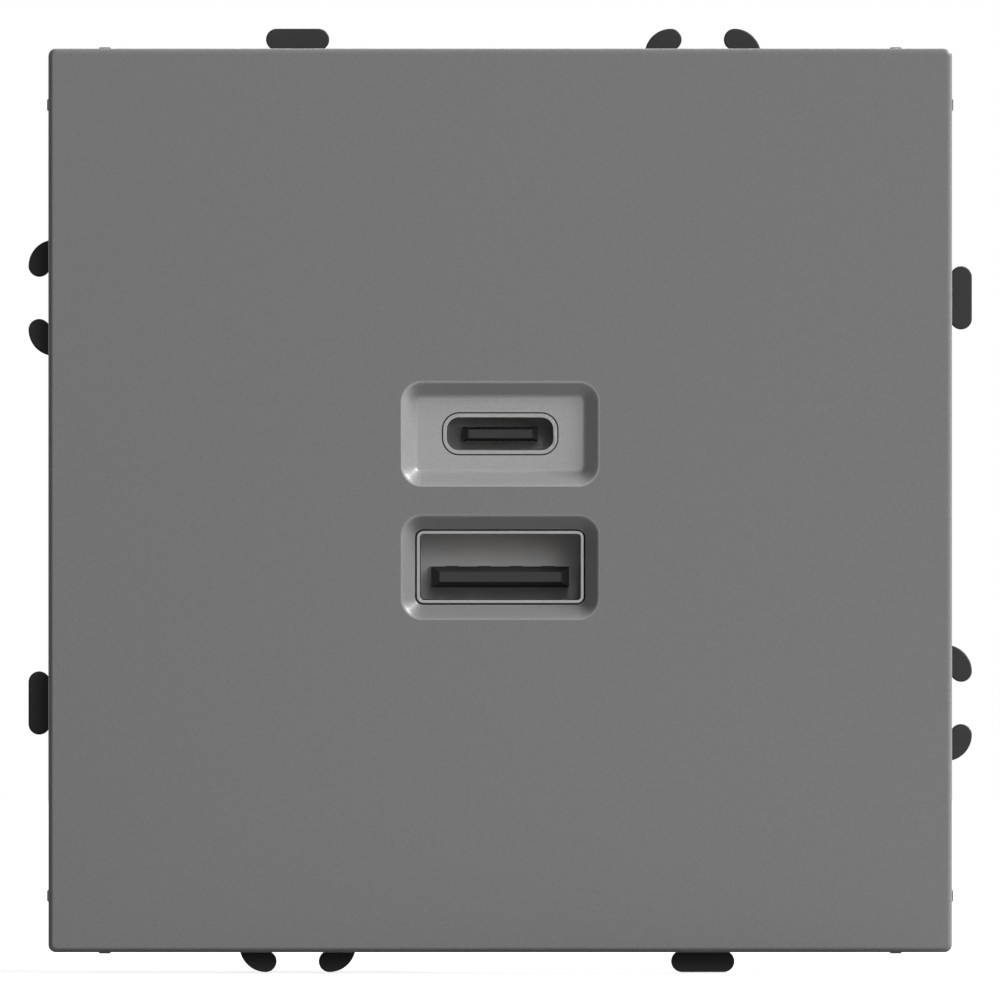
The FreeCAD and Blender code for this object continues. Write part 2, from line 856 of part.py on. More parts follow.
def make_module_cap():
    body = new_body("module_cap")
    centre = (size(0), size(0))
    front_y = frame_front_y - S.cap_thickness
    width = S.casing_width + 2 * S.cap_side_lap
    height = S.casing_height + 2 * S.cap_end_lap
    pad(body, "flange", [rounded_rectangle(centre, width, height, S.casing_corner)], frame_front_y, front_y)
    rim_width = S.casing_width - 2 * (S.casing_wall + S.cap_rim_gap)
    rim_height = S.casing_height - 2 * (S.casing_wall + S.cap_rim_gap)
    rim_corner = S.casing_corner - S.casing_wall - S.cap_rim_gap
    rim = rounded_rectangle(centre, rim_width, rim_height, rim_corner)
    hollow = rectangle(centre, rim_width - 2 * S.cap_rim_wall, rim_height - 2 * S.cap_rim_wall)
    pad(body, "rim", [rim, hollow], frame_front_y - S.cap_thickness / 2, frame_front_y + S.cap_rim_depth)
    pegs = [(place, S.board_peg_radius) for place in board_peg_places]
    pad(body, "board_pegs", pegs, frame_front_y - S.cap_thickness / 2, port_board_y)
    pins = [(place, S.board_pin_radius) for place in board_peg_places]
    pad(body, "board_pins", pins, port_board_y - S.board_thickness, port_board_rear_y + S.board_pin_proud)
    windows = [port_outline(port, S.cap_port_gap) for port in ("a", "c")]
    pocket(body, "port_windows", windows, front_y, frame_front_y)
    holes = [(place, S.module_screw_radius + S.screw_hole_gap) for place in module_screw_places]
    pocket(body, "screw_holes", holes, front_y, frame_front_y)


def make_rear_casing():
    body = new_body("rear_casing")
    centre = (size(0), size(0))
    outer = rounded_rectangle(centre, S.casing_width, S.casing_height, S.casing_corner)
    pad(body, "box", [outer], casing_rear_y, frame_front_y)
    ear_z = module_screw_z + S.ear_edge
    ears = [
        rectangle((hand_x * S.module_screw_x, hand_z * (ear_z + casing_half_z - S.casing_wall / 2) / 2),
                  2 * S.ear_half_width, ear_z - casing_half_z + S.casing_wall / 2)
        for hand_x in (1, -1) for hand_z in (1, -1)
    ]
    pad(body, "ears", ears, S.ear_depth, size(0))
    inner_width = S.casing_width - 2 * S.casing_wall
    inner_height = S.casing_height - 2 * S.casing_wall
    inner = rounded_rectangle(centre, inner_width, inner_height, S.casing_corner - S.casing_wall)
    pocket(body, "room", [inner], frame_front_y, casing_inner_y)
    posts = [(place, S.board_post_radius) for place in board_screw_places]
    pad(body, "board_posts", posts, casing_inner_y + S.casing_wall / 2, main_board_rear_y)
    thread = [(place, S.board_screw_radius + S.receptacle_fit) for place in board_screw_places]
    pocket(body, "post_threads", thread, main_board_rear_y, main_board_rear_y + S.board_screw_length)
    ear_holes = [
        (place, S.module_screw_radius + S.receptacle_fit) for place in module_screw_places
    ]
    pocket(body, "ear_threads", ear_holes, size(0), S.ear_depth)
    wells = [((hand * S.terminal_x, terminal_z), S.terminal_well_radius) for hand in (1, -1)]
    pocket(body, "screwdriver_holes", wells, casing_rear_y, casing_inner_y)
    wires = [((hand * S.terminal_x, wire_y), S.wire_funnel_radius + S.terminal_block_gap) for hand in (1, -1)]
    pocket(body, "wire_holes", wires, -casing_half_z, -casing_half_z + S.casing_wall, PLAN)


def make_module_screws():
    screws = []
    for place in module_screw_places:
        front_y = frame_front_y - S.cap_thickness
        head = slotted_head(place, front_y - S.module_screw_head, front_y, S.module_screw_head_radius, True)
        shank = rod(place, S.module_screw_radius, front_y, front_y + S.module_screw_length)
        screws.append(fuse([head, shank]))
    keep("module_screws", group(screws))


# Boards


def link_pin_places():
    """The header's pins, in a row along X."""
    first = -S.link_pin_pitch * (LINK_PIN_COUNT - 1) / 2
    return [(first + S.link_pin_pitch * index, link_pin_z) for index in range(LINK_PIN_COUNT)]


def make_port_board():
    board = block(
        (-port_board_half_x, port_board_half_x), (port_board_y, port_board_rear_y),
        (-port_board_half_z, port_board_half_z))
    holes = [
        rod(place, S.board_pin_radius + S.board_pin_gap, port_board_y, port_board_rear_y)
        for place in board_peg_places
    ]
    holes += [rod(place, S.link_pin_radius, port_board_y, port_board_rear_y) for place in link_pin_places()]
    for port in ("a", "c"):
        for x, _, z in leg_spans(port, S.port_slot_gap):
            holes.append(block(x, (port_board_y, port_board_rear_y), z))
    keep("port_board", cut(board, holes))


def make_main_board():
    body = new_body("main_board")
    corner = S.casing_corner - S.casing_wall
    board = rounded_rectangle((size(0), size(0)), 2 * board_half_x, 2 * board_half_z, corner)
    pad(body, "board", [board], main_board_rear_y, main_board_y)
    holes = [(place, S.board_screw_radius + S.screw_hole_gap) for place in board_screw_places]
    holes += [(place, S.link_pin_radius) for place in link_pin_places()]
    for hand in (1, -1):
        x, z = bar_leg_span(hand, S.port_slot_gap)
        holes.append([(x[1], z[0]), (x[1], z[1]), (x[0], z[1]), (x[0], z[0])])
    pocket(body, "holes", holes, main_board_y, main_board_rear_y)


def make_board_screws():
    screws = []
    for place in board_screw_places:
        front_y = main_board_y - S.board_screw_head
        head = slotted_head(place, front_y, main_board_y, S.board_screw_head_radius, True)
        shank = rod(place, S.board_screw_radius, main_board_y, main_board_y + S.board_screw_length)
        screws.append(fuse([head, shank]))
    keep("board_screws", group(screws))


def make_link_pins():
    pins = [
        rod(place, S.link_pin_radius, port_board_y - S.link_pin_proud, main_board_rear_y + S.link_pin_proud)
        for place in link_pin_places()
    ]
    keep("link_pins", group(pins))
    half = S.link_pin_pitch * LINK_PIN_COUNT / 2
    strip = block(
        (-half, half), (port_board_rear_y, port_board_rear_y + S.header_height),
        (link_pin_z - S.link_pin_pitch / 2, link_pin_z + S.link_pin_pitch / 2))
    bores = [
        rod(place, S.link_pin_radius, port_board_rear_y, port_board_rear_y + S.header_height)
        for place in link_pin_places()
    ]
    keep("header_strip", cut(strip, bores))


# Receptacles


def leg_spans(port, gap):
    """The two solder legs of a receptacle's shell, larger all round by a gap."""
    width, _, _ = shell_size(port)
    x_centre, z_centre = port_centre(port)
    outer = width / 2 + gap
    inner = width / 2 - S.receptacle_wall - gap
    half = S.shell_leg_width / 2 + gap
    spans = []
    for low, high in ((inner, outer), (-outer, -inner)):
        y = (port_board_y - S.receptacle_wall, port_board_y + S.shell_leg_length)
        spans.append(((x_centre + low, x_centre + high), y, (z_centre - half, z_centre + half)))
    return spans


def make_shell(port):
    width, height, corner = shell_size(port)
    body = new_body(f"usb_{port}_shell")
    inner = rounded_rectangle(
        port_centre(port), width - 2 * S.receptacle_wall, height - 2 * S.receptacle_wall,
        corner - S.receptacle_wall)
    pad(body, "tube", [port_outline(port, size(0)), inner], port_board_y, mouth_y)
    legs = []
    for x, y, z in leg_spans(port, size(0)):
        legs.append([(x[1], z[0]), (x[1], z[1]), (x[0], z[1]), (x[0], z[0])])
    pad(body, "legs", legs, port_board_y + S.shell_leg_length, port_board_y - S.receptacle_wall)


def make_tongue(port, drop, width, height, nose_width, nose_height, nose):
    """The plastic blade of a receptacle, with a bevelled nose and the block that closes the shell's rear."""
    outer_width, outer_height, corner = shell_size(port)
    inset = S.receptacle_wall + S.receptacle_fit
    x, z = port_centre(port)
    body = new_body(f"usb_{port}_tongue")
    base_y = port_board_y - S.receptacle_base
    base = rounded_rectangle((x, z), outer_width - 2 * inset, outer_height - 2 * inset, corner - inset)
    pad(body, "base", [base], port_board_y, base_y)
    blade_y = mouth_y + S.tongue_setback + nose
    pad(body, "blade", [rectangle((x, z - drop), width, height)], base_y + S.receptacle_base / 2, blade_y)
    tip = rectangle((x, z - drop), nose_width, nose_height)
    root = rectangle((x, z - drop), width, height)
    loft(body, "nose", "PartDesign::AdditiveLoft", tip, root, mouth_y + S.tongue_setback, blade_y)


def make_contacts():
    """Flat spring contacts lying on the tongues."""
    start = mouth_y + S.tongue_setback + S.a_tongue_nose + S.contact_inset
    end = port_board_y - S.receptacle_base
    x, z = port_centre("a")
    top = z - S.a_tongue_drop + S.a_tongue_height / 2
    strips = []
    for index in range(A_CONTACT_COUNT):
        middle = S.a_contact_pitch * (index - (A_CONTACT_COUNT - 1) / 2)
        half = S.a_contact_width / 2
        strips.append(block((middle - half, middle + half), (start, end), (top, top + S.a_contact_thickness)))
    keep("usb_a_contacts", group(strips))
    x, z = port_centre("c")
    strips = []
    for index in range(C_CONTACT_COUNT):
        middle = S.c_contact_pitch * (index - (C_CONTACT_COUNT - 1) / 2)
        half = S.c_contact_width / 2
        span = (middle - half, middle + half)
        rise = S.c_tongue_height / 2
        strips.append(block(span, (start, end), (z + rise, z + rise + S.c_contact_thickness)))
        strips.append(block(span, (start, end), (z - rise - S.c_contact_thickness, z - rise)))
    keep("usb_c_contacts", group(strips))


# Components on the boards


def make_transformer():
    x, z = S.transformer_x * scale_x, S.transformer_z * scale_z
    rear = main_board_y - S.core_board_gap
    depth = (rear - S.core_depth, rear)
    half_x, half_z = S.core_width * scale_x / 2, S.core_height * scale_z / 2
    leg = S.core_leg_width * scale_x / 2
    flange_x = half_x - S.core_side_width * scale_x
    window_z = half_z - S.core_yoke * scale_z
    core = block((x - half_x, x + half_x), depth, (z - half_z, z + half_z))
    windows = [
        block((x + leg, x + flange_x), depth, (z - window_z, z + window_z)),
        block((x - flange_x, x - leg), depth, (z - window_z, z + window_z)),
    ]
    keep("transformer_core", cut(core, windows))
    wall = S.bobbin_wall
    lap = S.bobbin_flange_lap
    tube_x = (x - leg - wall, x + leg + wall)
    tube_y = (depth[0] - wall, depth[1] + wall)
    tube = block(tube_x, tube_y, (z - window_z, z + window_z))
    parts = [tube]
    for low, high in ((window_z - wall, window_z), (-window_z, -window_z + wall)):
        flange_y = (depth[0] - lap, depth[1] + lap)
        parts.append(block((x - flange_x, x + flange_x), flange_y, (z + low, z + high)))
    for low, high in ((window_z - S.bobbin_foot, window_z), (-window_z, -window_z + S.bobbin_foot)):
        foot_y = (depth[1] + S.winding_lap, main_board_y)
        parts.append(block((x - flange_x, x + flange_x), foot_y, (z + low, z + high)))
    leg_space = block((x - leg, x + leg), depth, (z - window_z, z + window_z))
    keep("transformer_bobbin", cut(fuse(parts), [leg_space]))
    inner_z = window_z - wall
    lap = S.winding_lap
    coil = block((x - flange_x, x + flange_x), (depth[0] - lap, depth[1] + lap), (z - inner_z, z + inner_z))
    core_of_coil = block(tube_x, tube_y, (z - inner_z, z + inner_z))
    feet_space = [
        block((x - flange_x, x + flange_x), (depth[1] + lap, main_board_y), (z - inner_z, z + inner_z))]
    keep("transformer_winding", cut(coil, [core_of_coil] + feet_space))


def can(label, x, z, radius, length):
    """A round capacitor standing on the main board, with a soft edge at its free end."""
    body = new_body(label)
    front_y = main_board_y - length
    pad(body, "can", [((x * scale_x, z * scale_z), radius * scale_round)], main_board_y, front_y)
    doc.recompute()
    round_edges(body, "soft_end", S.can_rounding, lambda edge: abs(edge.BoundBox.YMax - front_y.value) < 1e-6)


def chip(label, x, z, width, height, board_y, depth):
    """A square component on one side of a board."""
    y = (board_y, board_y + depth) if depth.value > 0 else (board_y + depth, board_y)
    across = ((x - width / 2) * scale_x, (x + width / 2) * scale_x)
    keep(label, block(across, y, ((z - height / 2) * scale_z, (z + height / 2) * scale_z)))


def disc(label, x, z, radius, thickness):
    """A disc-shaped component that stands on two leads."""
    x, z = x * scale_x, z * scale_z
    radius = radius * scale_round
    half = thickness * scale_x / 2
    y = main_board_y - S.disc_board_gap - radius
    plate = rod_along_x(x - half, x + half, y, z, radius)
    pitch = S.disc_lead_pitch * scale_round
    leads = [rod((x, z + hand * pitch / 2), S.disc_lead_radius, y, main_board_y) for hand in (1, -1)]
    keep(label, fuse([plate] + leads))


def make_choke():
    place = (S.choke_x * scale_x, S.choke_z * scale_z)
    radius = S.choke_radius * scale_round
    core_radius = S.choke_core_radius * scale_round
    front_y = main_board_y - S.choke_length
    drum = fuse([
        rod(place, core_radius, front_y, main_board_y),
        rod(place, radius, front_y, front_y + S.choke_flange),
        rod(place, radius, main_board_y - S.choke_flange, main_board_y),
    ])
    keep("choke_core", drum)
    span = (front_y + S.choke_flange, main_board_y - S.choke_flange)
    coil = cut(rod(place, radius - S.choke_coil_inset, *span), [rod(place, core_radius, *span)])
    keep("choke_winding", coil)


def make_components():
    make_transformer()
    make_choke()
    for name, hand in (("upper", 1), ("lower", -1)):
        can(f"bulk_capacitor_{name}", S.bulk_x, hand * S.bulk_z, S.bulk_radius, S.bulk_length)
        z = S.output_z + hand * S.output_pitch / 2
        can(f"output_capacitor_{name}", S.output_x, z, S.output_radius, S.output_length)
    chip("fuse", S.fuse_x, size(0), S.fuse_width, S.fuse_height, main_board_y, -S.fuse_length)
    chip("film_capacitor", S.film_x, S.film_z, S.film_width, S.film_height, main_board_y, -S.film_length)
    chip("optocoupler", S.optocoupler_x, S.optocoupler_z, S.optocoupler_width, S.optocoupler_height,
         main_board_y, -S.optocoupler_depth)
    chip("bridge_rectifier", S.rectifier_x, S.rectifier_z, S.rectifier_width, S.rectifier_height,
         main_board_rear_y, S.rectifier_depth)
    chip("switching_chip", S.switch_x, S.switch_z, S.switch_width, S.switch_height,
         main_board_rear_y, S.switch_depth)
    chip("port_control_chip", size(0), size(0), S.port_chip_side, S.port_chip_side,
         port_board_rear_y, S.port_chip_depth)
    disc("varistor", S.disc_x, S.varistor_z, S.varistor_radius, S.varistor_thickness)
    disc("safety_capacitor", S.disc_x, S.safety_z, S.safety_radius, S.safety_thickness)


# Mains terminals


def bar_leg_span(hand, gap):
    """Where a contact bar's leg passes through the floor and the board, larger all round by a gap."""
    x = hand * S.terminal_x
    half = S.bar_leg_width / 2 + gap
    return (x - half, x + half), (cavity_top_z - S.bar_leg_depth - gap, cavity_top_z + gap)


def make_terminal_block():
    half = S.terminal_block_width / 2
    base = block((-half, half), (main_board_rear_y, block_rear_y), (terminal_bottom_z, terminal_top_z))
    hollows = []
    for hand in (1, -1):
        x = hand * S.terminal_x
        cavity_half = S.terminal_cavity_width / 2
        cavity_y = (cavity_front_y, cavity_rear_y)
        hollows.append(block((x - cavity_half, x + cavity_half), cavity_y, (cavity_bottom_z, cavity_top_z)))
        hollows.append(rod((x, terminal_z), S.terminal_screw_radius + S.screw_hole_gap, cavity_rear_y, well_y))
        hollows.append(rod((x, terminal_z), S.terminal_well_radius, well_y, block_rear_y))
        hollows.append(cone_along_z(
            x, wire_y, terminal_bottom_z, cavity_bottom_z, S.wire_funnel_radius, S.wire_hole_radius))
        leg_x, leg_z = bar_leg_span(hand, S.port_slot_gap)
        hollows.append(block(leg_x, (main_board_rear_y, cavity_front_y), leg_z))
    keep("terminal_block", cut(base, hollows))


def make_terminal_bars():
    bars = []
    for hand in (1, -1):
        x = hand * S.terminal_x
        half = S.bar_width / 2
        bar = block((x - half, x + half), (bar_y, bar_rear_y), (cavity_bottom_z, cavity_top_z))
        leg_x, leg_z = bar_leg_span(hand, size(0))
        leg = block(leg_x, (main_board_y - S.bar_leg_proud, bar_y), leg_z)
        bars.append(fuse([bar, leg]))
    keep("terminal_bars", group(bars))


def make_terminal(name, hand):
    """One clamp: a cage that rises on its screw and pulls the wire against the bar."""
    x = hand * S.terminal_x
    half = S.terminal_cavity_width / 2 - S.cage_gap
    z = (terminal_z - S.cage_height / 2, terminal_z + S.cage_height / 2)
    ring = block((x - half, x + half), (cage_front_y, cage_rear_y), z)
    inner = half - S.cage_wall
    room = block((x - inner, x + inner), (wire_room_y, cage_nut_y), z)
    thread = rod((x, terminal_z), S.terminal_screw_radius + S.running_gap, cage_nut_y, cage_rear_y)
    keep(f"terminal_cage_{name}", cut(ring, [room, thread]))
    head_y = well_y + S.running_gap
    head = slotted_head((x, terminal_z), head_y, head_y + S.terminal_head, S.terminal_head_radius, False)
    shank = rod((x, terminal_z), S.terminal_screw_radius, bar_rear_y + S.running_gap, head_y)
    keep(f"terminal_screw_{name}", fuse([head, shank]))


# Spreading claws


def make_claw(name, hand):
    """An L of toothed sheet steel: a forked foot behind the screw's guides and an arm that comes forward."""
    inner_x = guide_inner_x + S.claw_foot_inset - S.guide_side_gap
    arm_x = casing_half_x + S.claw_arm_out
    outer_x = arm_x + S.claw_sheet
    rear_y = S.claw_foot_y + S.claw_sheet
    front_y = rear_y - S.claw_arm_length
    steps = [
        (inner_x * hand, rear_y), (inner_x * hand, S.claw_foot_y),
        (arm_x * hand, S.claw_foot_y), (arm_x * hand, front_y),
    ]
    for tooth in range(CLAW_TEETH):
        root_y = front_y + S.claw_tooth_pitch * tooth
        steps.append((outer_x * hand, root_y))
        steps.append(((outer_x + S.claw_tooth) * hand, root_y + S.claw_tooth))
    steps.append((outer_x * hand, front_y + S.claw_tooth_pitch * CLAW_TEETH))
    steps.append((outer_x * hand, rear_y))
    body = new_body(f"claw_{name}")
    pad(body, "sheet", [steps], -S.claw_half_height, S.claw_half_height, PLAN)
    fork_end = claw_screw_x + S.claw_fork_half_gap
    middle = (inner_x - S.claw_sheet + fork_end) / 2
    gap = rectangle((middle * hand, size(0)), fork_end - inner_x + S.claw_sheet, 2 * S.claw_fork_half_gap)
    pocket(body, "fork", [gap], S.claw_foot_y, rear_y)


def make_claw_screw(name, hand):
    place = (hand * claw_screw_x, size(0))
    under_head = frame_front_y - S.running_gap
    head = slotted_head(place, under_head - S.claw_head, under_head, S.claw_head_radius, True)
    shank = rod(place, S.claw_screw_radius, under_head, claw_nut_y + S.claw_nut_thickness + S.claw_screw_proud)
    keep(f"claw_screw_{name}", fuse([head, shank]))


def make_claw_nut(name, hand):
    x = hand * claw_screw_x
    half = S.claw_nut_side / 2
    y = (claw_nut_y, claw_nut_y + S.claw_nut_thickness)
    nut = block((x - half, x + half), y, (-half, half))
    bore = rod((x, size(0)), S.claw_screw_radius + S.running_gap, *y)
    keep(f"claw_nut_{name}", cut(nut, [bore]))


def make_all():
    make_front_plate()
    make_support_frame()
    make_module_cap()
    make_rear_casing()
    make_module_screws()
    make_port_board()
    make_main_board()
    make_board_screws()
    make_link_pins()
    for port in ("a", "c"):
        make_shell(port)
    make_tongue("a", S.a_tongue_drop, S.a_tongue_width, S.a_tongue_height,
                S.a_tongue_nose_width, S.a_tongue_nose_height, S.a_tongue_nose)
    make_tongue("c", size(0), S.c_tongue_width, S.c_tongue_height,
                S.c_tongue_nose_width, S.c_tongue_nose_height, S.c_tongue_nose)
    make_contacts()
    make_components()
    make_terminal_block()
    make_terminal_bars()
    for name, hand in (("right", 1), ("left", -1)):
        make_terminal(name, hand)
        make_claw(name, hand)
        make_claw_screw(name, hand)
        make_claw_nut(name, hand)
    doc.recompute()


def check_all():
    """Stop if any object failed or any sub-part is empty or broken."""
    failed = [item.Name for item in doc.Objects if {"Invalid", "Error"} & set(item.State)]
    if failed:
        raise RuntimeError(f"failed objects: {failed}")
    for label, item in nodes.items():
        if item.Shape.isNull() or not item.Shape.isValid() or not item.Shape.Solids:
            raise RuntimeError(f"{label} has no sound solid")


def write_all():
    os.makedirs("parts", exist_ok=True)
    for label, item in nodes.items():
        item.Shape.exportStep(os.path.join("parts", f"{label}.step"))


make_all()
check_all()
write_all()
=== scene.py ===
import json
import math

import bmesh
import bpy
from bpy.props import FloatProperty, FloatVectorProperty, IntProperty, PointerProperty
from mathutils import Matrix, Vector

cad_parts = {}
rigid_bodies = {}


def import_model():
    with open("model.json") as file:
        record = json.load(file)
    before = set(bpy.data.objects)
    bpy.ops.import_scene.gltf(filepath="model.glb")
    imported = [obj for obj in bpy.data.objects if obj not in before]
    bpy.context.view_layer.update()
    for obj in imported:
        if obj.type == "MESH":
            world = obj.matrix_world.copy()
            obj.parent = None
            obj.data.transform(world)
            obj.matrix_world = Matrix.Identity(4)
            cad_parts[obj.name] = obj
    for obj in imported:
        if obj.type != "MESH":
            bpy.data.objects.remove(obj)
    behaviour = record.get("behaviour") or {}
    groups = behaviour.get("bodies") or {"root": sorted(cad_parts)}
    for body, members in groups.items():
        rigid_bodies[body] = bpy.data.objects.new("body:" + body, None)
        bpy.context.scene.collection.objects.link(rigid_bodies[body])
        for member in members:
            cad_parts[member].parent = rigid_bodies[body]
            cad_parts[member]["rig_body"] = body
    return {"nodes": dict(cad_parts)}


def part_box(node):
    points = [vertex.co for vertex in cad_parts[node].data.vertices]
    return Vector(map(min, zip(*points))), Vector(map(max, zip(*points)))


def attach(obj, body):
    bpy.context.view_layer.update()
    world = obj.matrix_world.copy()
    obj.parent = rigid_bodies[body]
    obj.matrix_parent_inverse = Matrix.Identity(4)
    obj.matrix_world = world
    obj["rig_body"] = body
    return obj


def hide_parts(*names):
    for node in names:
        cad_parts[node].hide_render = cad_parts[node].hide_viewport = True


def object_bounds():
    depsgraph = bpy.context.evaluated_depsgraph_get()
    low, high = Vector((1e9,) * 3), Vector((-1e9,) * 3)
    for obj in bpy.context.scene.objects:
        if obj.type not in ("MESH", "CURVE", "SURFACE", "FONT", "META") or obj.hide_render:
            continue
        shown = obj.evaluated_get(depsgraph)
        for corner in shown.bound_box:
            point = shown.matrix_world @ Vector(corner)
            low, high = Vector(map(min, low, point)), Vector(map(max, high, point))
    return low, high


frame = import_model()
cad_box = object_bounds()

bl_info = {
    "name": "USB wall socket",
    "version": (1, 0, 0),
    "blender": (4, 5, 0),
    "location": "3D View > Sidebar > Wall socket",
    "description": "Finishes the solids of a wall socket with two charging ports and lights them in a plain studio",
    "category": "Object",
}

# Lengths in this file are metres. The wall is y = 0, the face looks towards -Y and +Z is up.
MM = 0.001
WELD = 1e-6
FLAT = math.radians(0.3)
SMOOTH = math.radians(34)

FACE_Y = -9.0 * MM
RECESS_FLOOR_Y = -7.9 * MM
PORT_Z = 5.22 * MM
MAIN_BOARD_FRONT_Y = 16.9 * MM
MAIN_BOARD_REAR_Y = 18.1 * MM
PORT_BOARD_REAR_Y = 3.8 * MM
SIDES = (("right", 1), ("left", -1))

RECESS_HALF_WIDTH = 7.9 * MM
RECESS_HALF_HEIGHT = 4.3 * MM
SKIRT_INSIDE = 33.9 * MM
TONGUE_BASE_Y = 1.05 * MM
MACHINE_CREST = 1.5 * MM
CLAW_SCREW_X = 24.9 * MM
TERMINAL_SCREW = (4.2 * MM, -12.9 * MM)
CHOKE_CENTRE = (11.2 * MM, -12.2 * MM)

# Each lamp's name, the direction in which it stands and its angle in degrees
LAMPS = (
    ("front", (0.18, -0.95, 0.22), 24), ("key", (0.7, -0.42, 0.58), 22), ("low", (0.775, -0.18, 0.605), 8),
    ("edge", (0.76, 0.25, 0.6), 10), ("back", (0.3, 0.85, 0.45), 30), ("side", (-0.8, 0.55, 0.25), 30),
)


def colour_property(name, description, default):
    return FloatVectorProperty(
        name=name, description=description, default=default, size=3, min=0, max=1, subtype="COLOR")


def length_property(name, description, default):
    return FloatProperty(name=name, description=description, default=default, min=0, unit="LENGTH", precision=6)


def share_property(name, description, default):
    return FloatProperty(name=name, description=description, default=default, min=0, max=1, subtype="FACTOR")


def level_property(name, description, default):
    return FloatProperty(name=name, description=description, default=default, min=0)


class PlateSettings(bpy.types.PropertyGroup):
    lacquer: colour_property("Lacquer", "Colour of the face plate", (0.113, 0.113, 0.113))
    # The recess colours are lighter copies of the face's lacquer, the upper one lighter than the lower: painted light
    # for the brighter light inside the recesses.
    upper_lacquer: colour_property("Upper recess", "Colour inside the upper recess", (0.189, 0.189, 0.189))
    lower_lacquer: colour_property("Lower recess", "Colour inside the lower recess", (0.137, 0.137, 0.137))
    roughness: share_property("Roughness", "Roughness of the lacquer", 0.44)
    specular: share_property("Specular", "Specular level of the lacquer", 0.3)
    recess_roughness: share_property("Recess roughness", "Roughness of the glossier lacquer in the recesses", 0.37)
    recess_specular: share_property("Recess specular", "Specular level of the lacquer in the recesses", 0.65)
    grain_pitch: length_property("Grain pitch", "Distance between grains of the lacquer", 0.00013)
    grain_depth: length_property("Grain depth", "Height of the grains", 0.0000045)


class PlasticSettings(bpy.types.PropertyGroup):
    frame: colour_property("Frame", "Colour of the support frame", (0.011, 0.011, 0.0115))
    casing: colour_property("Casing", "Colour of the module's casing", (0.03, 0.03, 0.032))
    tongue: colour_property("Tongue", "Colour of the tongues in the ports", (0.0145, 0.0145, 0.015))
    # The slopes take a paler copy of the tongue's plastic: painted light for the light that falls on them.
    tongue_slope: colour_property("Tongue slopes", "Colour of the tongues' sloping ends", (0.026, 0.026, 0.027))
    # The blocks behind the tongues are a pale plastic made paler still, the upper one most: partly their own colour,
    # partly painted light for the light that reaches the back of the deep ports.
    upper_base: colour_property("Upper port base", "Colour of the block behind the upper tongue", (0.85, 0.85, 0.86))
    lower_base: colour_property("Lower port base", "Colour of the block behind the lower tongue", (0.6, 0.6, 0.61))
    terminal: colour_property("Terminal housing", "Colour of the terminal block", (0.4, 0.41, 0.4))
    texture_pitch: length_property("Texture pitch", "Distance between grains of the moulded texture", 0.0003)
    texture_depth: length_property("Texture depth", "Height of the moulded texture", 0.000012)


class MetalSettings(bpy.types.PropertyGroup):
    # The rim and the inside are darker copies of the nickel: painted shade, which dims the rim's reflection and keeps
    # the inside from lighting the ports.
    rim: colour_property("Port rim", "Colour of the shells' rims", (0.152, 0.152, 0.155))
    inside: colour_property("Port inside", "Colour of the shells' insides", (0.22, 0.22, 0.222))
    nickel: colour_property("Nickel", "Colour of the shells' outsides", (0.5, 0.49, 0.47))
    zinc: colour_property("Zinc", "Colour of screws, claws and clamps", (0.5, 0.49, 0.45))
    gold: colour_property("Gold", "Colour of the contacts", (0.5, 0.35, 0.15))
    copper: colour_property("Copper", "Colour of enamelled wire", (0.42, 0.13, 0.045))
    solder: colour_property("Solder", "Colour of solder and tinned copper", (0.55, 0.55, 0.54))


class ThreadSettings(bpy.types.PropertyGroup):
    machine_pitch: length_property("Machine pitch", "Pitch of the claw and terminal screws", 0.0005)
    tapping_pitch: length_property("Tapping pitch", "Pitch of the screws that cut into plastic", 0.0009)
    machine_depth: length_property("Machine depth", "Height of the ridge of a machine thread", 0.00027)
    tapping_depth: length_property("Tapping depth", "Height of the ridge of a tapping thread", 0.0003)
    steps: IntProperty(name="Steps", description="Straight pieces in one turn of a thread", default=22, min=8)


class StudioSettings(bpy.types.PropertyGroup):
    ambient: share_property("Ambient", "Light from all round", 0.08)
    front_level: level_property("Front light", "Level of the soft light on the face", 0.34)
    key_level: level_property("Key light", "Level of the light from the upper right", 1.12)
    low_level: level_property("Low light", "Level of the grazing light from there", 0.5)
    edge_level: level_property("Edge light", "Level of the light on the edges", 1.8)
    back_level: level_property("Back light", "Level of the light from behind", 0.8)
    side_level: level_property("Side light", "Level of the light on the left side", 0.3)
    floor_colour: colour_property("Floor", "Colour of the floor", (0.24, 0.24, 0.24))
    floor_glow: share_property("Floor glow", "What the camera sees of the floor besides its own colour", 0.76)
    flag_level: share_property("Flags", "Level of the dark cards beside the plate", 0.1)
    camera_distance: length_property("Camera distance", "From the face to the camera", 3.5)
    view_width: length_property("View width", "Width of the picture at the face", 0.07833)


# Materials


class NodeBench:
    """A node tree that is being built, with short ways to add, feed and link its nodes."""

    def __init__(self, tree):
        self.tree = tree

    def add(self, kind, **settings):
        node = self.tree.nodes.new(kind)
        for key, value in settings.items():
            setattr(node, key, value)
        return node

    def put(self, value, socket):
        """Link another node's output to a socket, or set the socket to a plain value."""
        if isinstance(value, bpy.types.NodeSocket):
            self.tree.links.new(value, socket)
        else:
            socket.default_value = value

    def feed(self, node, **sockets):
        """Put values into a node's inputs, which are named with _ for a space."""
        for label, value in sockets.items():
            self.put(value, node.inputs[label.replace("_", " ")])
        return node

    def math(self, operation, first, second):
        node = self.add("ShaderNodeMath", operation=operation)
        self.put(first, node.inputs[0])
        self.put(second, node.inputs[1])
        return node.outputs["Value"]


